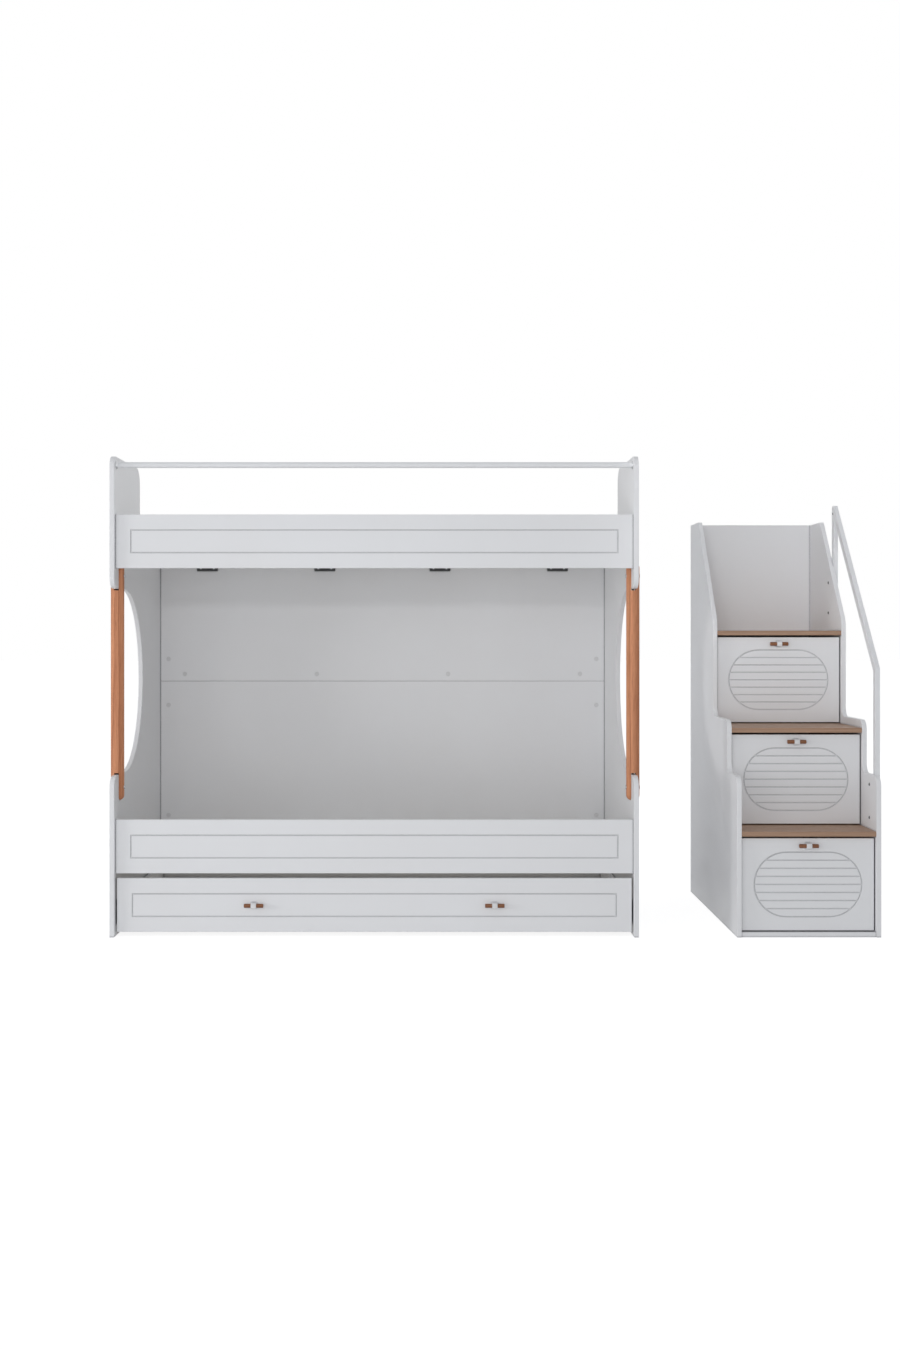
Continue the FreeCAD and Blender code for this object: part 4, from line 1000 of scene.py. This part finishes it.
# %% [markdown]
# ## Slat screws
# Each slat lies on two bearers and is held to each by one flat screw, so the screws stand in two straight
# rows. Their places come from the slats and the bearers themselves. They are seen only in passing, from
# above, so a coarse turning is enough.

# %% Slat screws
SLAT_SCREW = (0.004, 0.0008, 0.0018)
SLAT_SCREW_SIDES = 16

slat_screw_spots = []
for bunk in ("lower", "upper"):
    bearer_boxes = solids_of(bunk + "_base_bearers")
    for low, high in solids_of(bunk + "_base_slats"):
        slat_x = (low[0] + high[0]) / 2
        slat_screw_spots += [("+z", (slat_x, bearer[:, 1].mean(), high[2])) for bearer in bearer_boxes]
slat_screw_shape = key_head(*SLAT_SCREW, SLAT_SCREW_SIDES)
make_piece("slat_screws", slat_screw_shape, slat_screw_spots, "zinc_steel", STILL)

# %% [markdown]
# ## Guard tube sockets
# A plated turned socket holds the guard tube at each bed end: a flange on the panel, a rounded shoulder
# and a thin lip round the tube. The profile closes on itself, so the turning makes a ring.

# %% Guard tube sockets
SOCKET_DEPTH = 0.005
SOCKET_SIDES = 48
SLIP_FIT = 0.0001
SHOULDER_SHARE = 0.55
LIP_SHARE = 0.28
SOCKET_SHARES = [(1.0, 0.0), (1.0, 0.0), (1.0, 0.30), (0.985, 0.38), (1.0, 0.44),
                 (1.02, 0.56), (1.0, 0.92), (0.98, 1.0), (1.0, 1.0)]


def lipped_socket(bore, radius, depth):
    """Closed profile of a flanged ring, from the bore's foot out over the flange and back to the lip.

    Each row is a share of the bore, flange, shoulder or lip radius, at a share of the depth.
    """
    shoulder = bore + (radius - bore) * SHOULDER_SHARE
    lip = bore + (radius - bore) * LIP_SHARE
    radii = [bore, radius, radius, radius, shoulder, lip, lip, lip, bore]
    return [(at * out, depth * up, 0) for at, (out, up) in zip(radii, SOCKET_SHARES)]


tube_low, tube_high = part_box("guard_tube")
socket_low, socket_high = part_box("guard_tube_sockets")
tube_radius = (tube_high.z - tube_low.z) / 2
socket_radius = (socket_high.z - socket_low.z) / 2
tube_y = (tube_low.y + tube_high.y) / 2
tube_z = (tube_low.z + tube_high.z) / 2
socket_profile = lipped_socket(tube_radius + SLIP_FIT, socket_radius, SOCKET_DEPTH)
socket_shape = turned_shape(socket_profile, SOCKET_SIDES, ring=True)
socket_spots = [("+x", (socket_low.x, tube_y, tube_z)), ("-x", (socket_high.x, tube_y, tube_z))]
guard_sockets = make_piece("guard_sockets", socket_shape, socket_spots, "zinc_steel", STILL)
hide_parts("guard_tube_sockets")

# %% [markdown]
# ## Post pins
# A short dark pin stands between each end of a post's slot and the bed end, and shows as a dark spot in
# that gap. It is a turned shape again, as long as the gap is high.

# %% Post pins
POST_LAP = 0.098
SHOULDER_GAP = 0.006
PIN_RADIUS = 0.005
PIN_TIP_RADIUS = 0.0045
PIN_TAPER = 0.0003
PIN_SIDES = 28
PIN_PROFILE = [(PIN_TIP_RADIUS, 0, 0), (PIN_RADIUS, PIN_TAPER, 0),
               (PIN_RADIUS, SHOULDER_GAP - PIN_TAPER, 0), (PIN_TIP_RADIUS, SHOULDER_GAP, 0)]

pin_spots = []
for post in ("left_post", "right_post"):
    post_low, post_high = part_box(post)
    post_x = (post_low.x + post_high.x) / 2
    post_y = (post_low.y + post_high.y) / 2
    pin_spots += [("+z", (post_x, post_y, post_low.z + POST_LAP)),
                  ("-z", (post_x, post_y, post_high.z - POST_LAP))]
make_piece("post_pins", turned_shape(PIN_PROFILE, PIN_SIDES), pin_spots, "dark_steel", STILL)

# %% [markdown]
# ## Handle blocks
# Each pull is a wooden dowel through a small painted block. Hand-sanded blocks have soft corners, so the
# block is a ring round the dowel whose outer rows follow a rounded rectangle. Between the bore's circle
# and the outside the same grid simply changes its outline.

# %% Handle blocks
BLOCK_SIDES = 56
CORNER_POWER = 7.0
RUN_SHARES = [-1, -1, -0.96, -0.85, 0.85, 0.96, 1, 1]
SIZE_SHARES = [0, 0.9, 0.975, 1, 1, 0.975, 0.9, 0]


def rounded_square(angle, power):
    """Distance from the middle to the side of a soft-cornered square: (|cos|^p + |sin|^p)^(-1/p)."""
    return (np.abs(np.cos(angle)) ** power + np.abs(np.sin(angle)) ** power) ** (-1 / power)


def bored_block(half, bore, shift):
    """Block of half sizes (along the dowel, deep, high), bored by a circle and moved by shift in its depth.

    At angle a, a row of size s lies at depth shift + s q(a) half_deep cos a and at height
    s q(a) half_high sin a, where q is the rounded square. The rows of size 0 are the bore's plain circles.
    """
    run = half[0] * np.array(RUN_SHARES)[:, None]
    size = np.array(SIZE_SHARES)[:, None]
    angle = around(BLOCK_SIDES)[None, :]
    reach = size * rounded_square(angle, CORNER_POWER)
    deep = np.where(size > 0, shift + half[1] * reach * np.cos(angle), bore * np.cos(angle))
    high = np.where(size > 0, half[2] * reach * np.sin(angle), bore * np.sin(angle))
    points = np.stack([deep, high, run + 0 * angle], axis=-1).reshape(-1, 3)
    return points, [grid_faces(len(RUN_SHARES), BLOCK_SIDES, True)]


def add_blocks(name, block_node, dowel_node, body):
    """Soft-cornered blocks in place of a node's plain ones."""
    dowel_low, dowel_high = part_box(dowel_node)
    dowel_y = (dowel_low.y + dowel_high.y) / 2
    bore = (dowel_high.z - dowel_low.z) / 2 + SLIP_FIT
    boxes = solids_of(block_node)
    half = (boxes[0, 1] - boxes[0, 0]) / 2
    middles = boxes.mean(axis=1)
    shape = bored_block(half, bore, middles[0, 1] - dowel_y)
    spots = [("+x", (x, dowel_y, z)) for x, y, z in middles]
    piece = make_piece(name, shape, spots, "white_block", body)
    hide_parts(block_node)


add_blocks("trundle_pull_blocks", "trundle_handle_blocks", "trundle_handle_dowels", "trundle")
for level in ("lower", "middle", "upper"):
    drawer = level + "_drawer"
    add_blocks(drawer + "_pull_block", drawer + "_handle_block", drawer + "_handle_dowel", drawer)

# %% [markdown]
# ## Caster wheels
# The trundle rolls on four hard wheels with a crowned tread, a groove round its middle and a dished,
# ribbed side. The wheel is a ring turned from a closed profile. The ribs come from lifting the dish a
# little where a cosine of five times the angle is near one.

# %% Caster wheels
WHEEL_SIDES = 60
WHEEL_RIBS = 5
RIB_LIFT = 0.22
RIB_POWER = 6
AXLE_FIT = 0.00005
WHEEL_SHARES = [(0.36, 1.0), (0.42, 0.74), (0.68, 0.74), (0.74, 0.95), (0.90, 0.98), (0.972, 0.84),
                (1.0, 0.56), (1.0, 0.10), (0.975, 0.06)]
# These rows of the whole profile lie in the dish of either side.
DISH_ROWS = [2, 3, -4, -3]


def ribbed_wheel(radius, half_width, bore):
    """Turned ring with dished sides, its rows shares of the radius and the half width.

    At angle a, the dish's heights are multiplied by 1 + lift max(0, cos(ribs a))^power.
    """
    side = [(bore, half_width)] + [(radius * out, half_width * up) for out, up in WHEEL_SHARES]
    rows = [(r, -h, 0) for r, h in side] + [(r, h, 0) for r, h in side[::-1]]
    grid = turned_grid(rows, WHEEL_SIDES)
    ribs = np.clip(np.cos(around(WHEEL_SIDES) * WHEEL_RIBS), 0, 1) ** RIB_POWER
    grid[DISH_ROWS, :, 2] *= 1 + RIB_LIFT * ribs
    return grid.reshape(-1, 3), [grid_faces(len(rows), WHEEL_SIDES, True)]


axle_boxes = solids_of("caster_axles")
axle_radius = float(axle_boxes[0, 1, 2] - axle_boxes[0, 0, 2]) / 2
for row in ("front", "rear"):
    for side in ("left", "right"):
        wheel = f"{row}_{side}_wheel"
        wheel_low, wheel_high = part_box(wheel)
        wheel_size = wheel_high - wheel_low
        hub = tuple((wheel_low + wheel_high) / 2)
        shape = ribbed_wheel(wheel_size.z / 2, wheel_size.x / 2, axle_radius + AXLE_FIT)
        roller = make_piece(f"{row}_{side}_roller", shape, [("+x", hub)], "caster_wheel", wheel)
        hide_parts(wheel)

# %% [markdown]
# ## Axle rivets
# Each axle is closed at both ends by a riveted head outside its fork. The head is a low dome, turned from
# a profile of its own, and stays with the trundle while the wheel turns.

# %% Axle rivets
RIVET_SIDES = 28
RIVET_PROFILE = [(0.0064, 0, 0), (0.0065, 0.0005, 0), (0.0060, 0.0012, 0), (0.0044, 0.0018, 0),
                 (0.0020, 0.0021, 0)]

rivet_spots = []
for low, high in axle_boxes:
    middle = (low + high) / 2
    rivet_spots += [("-x", (low[0], *middle[1:])), ("+x", (high[0], *middle[1:]))]
rivet_shape = turned_shape(RIVET_PROFILE, RIVET_SIDES)
make_piece("axle_rivets", rivet_shape, rivet_spots, "zinc_steel", "trundle")
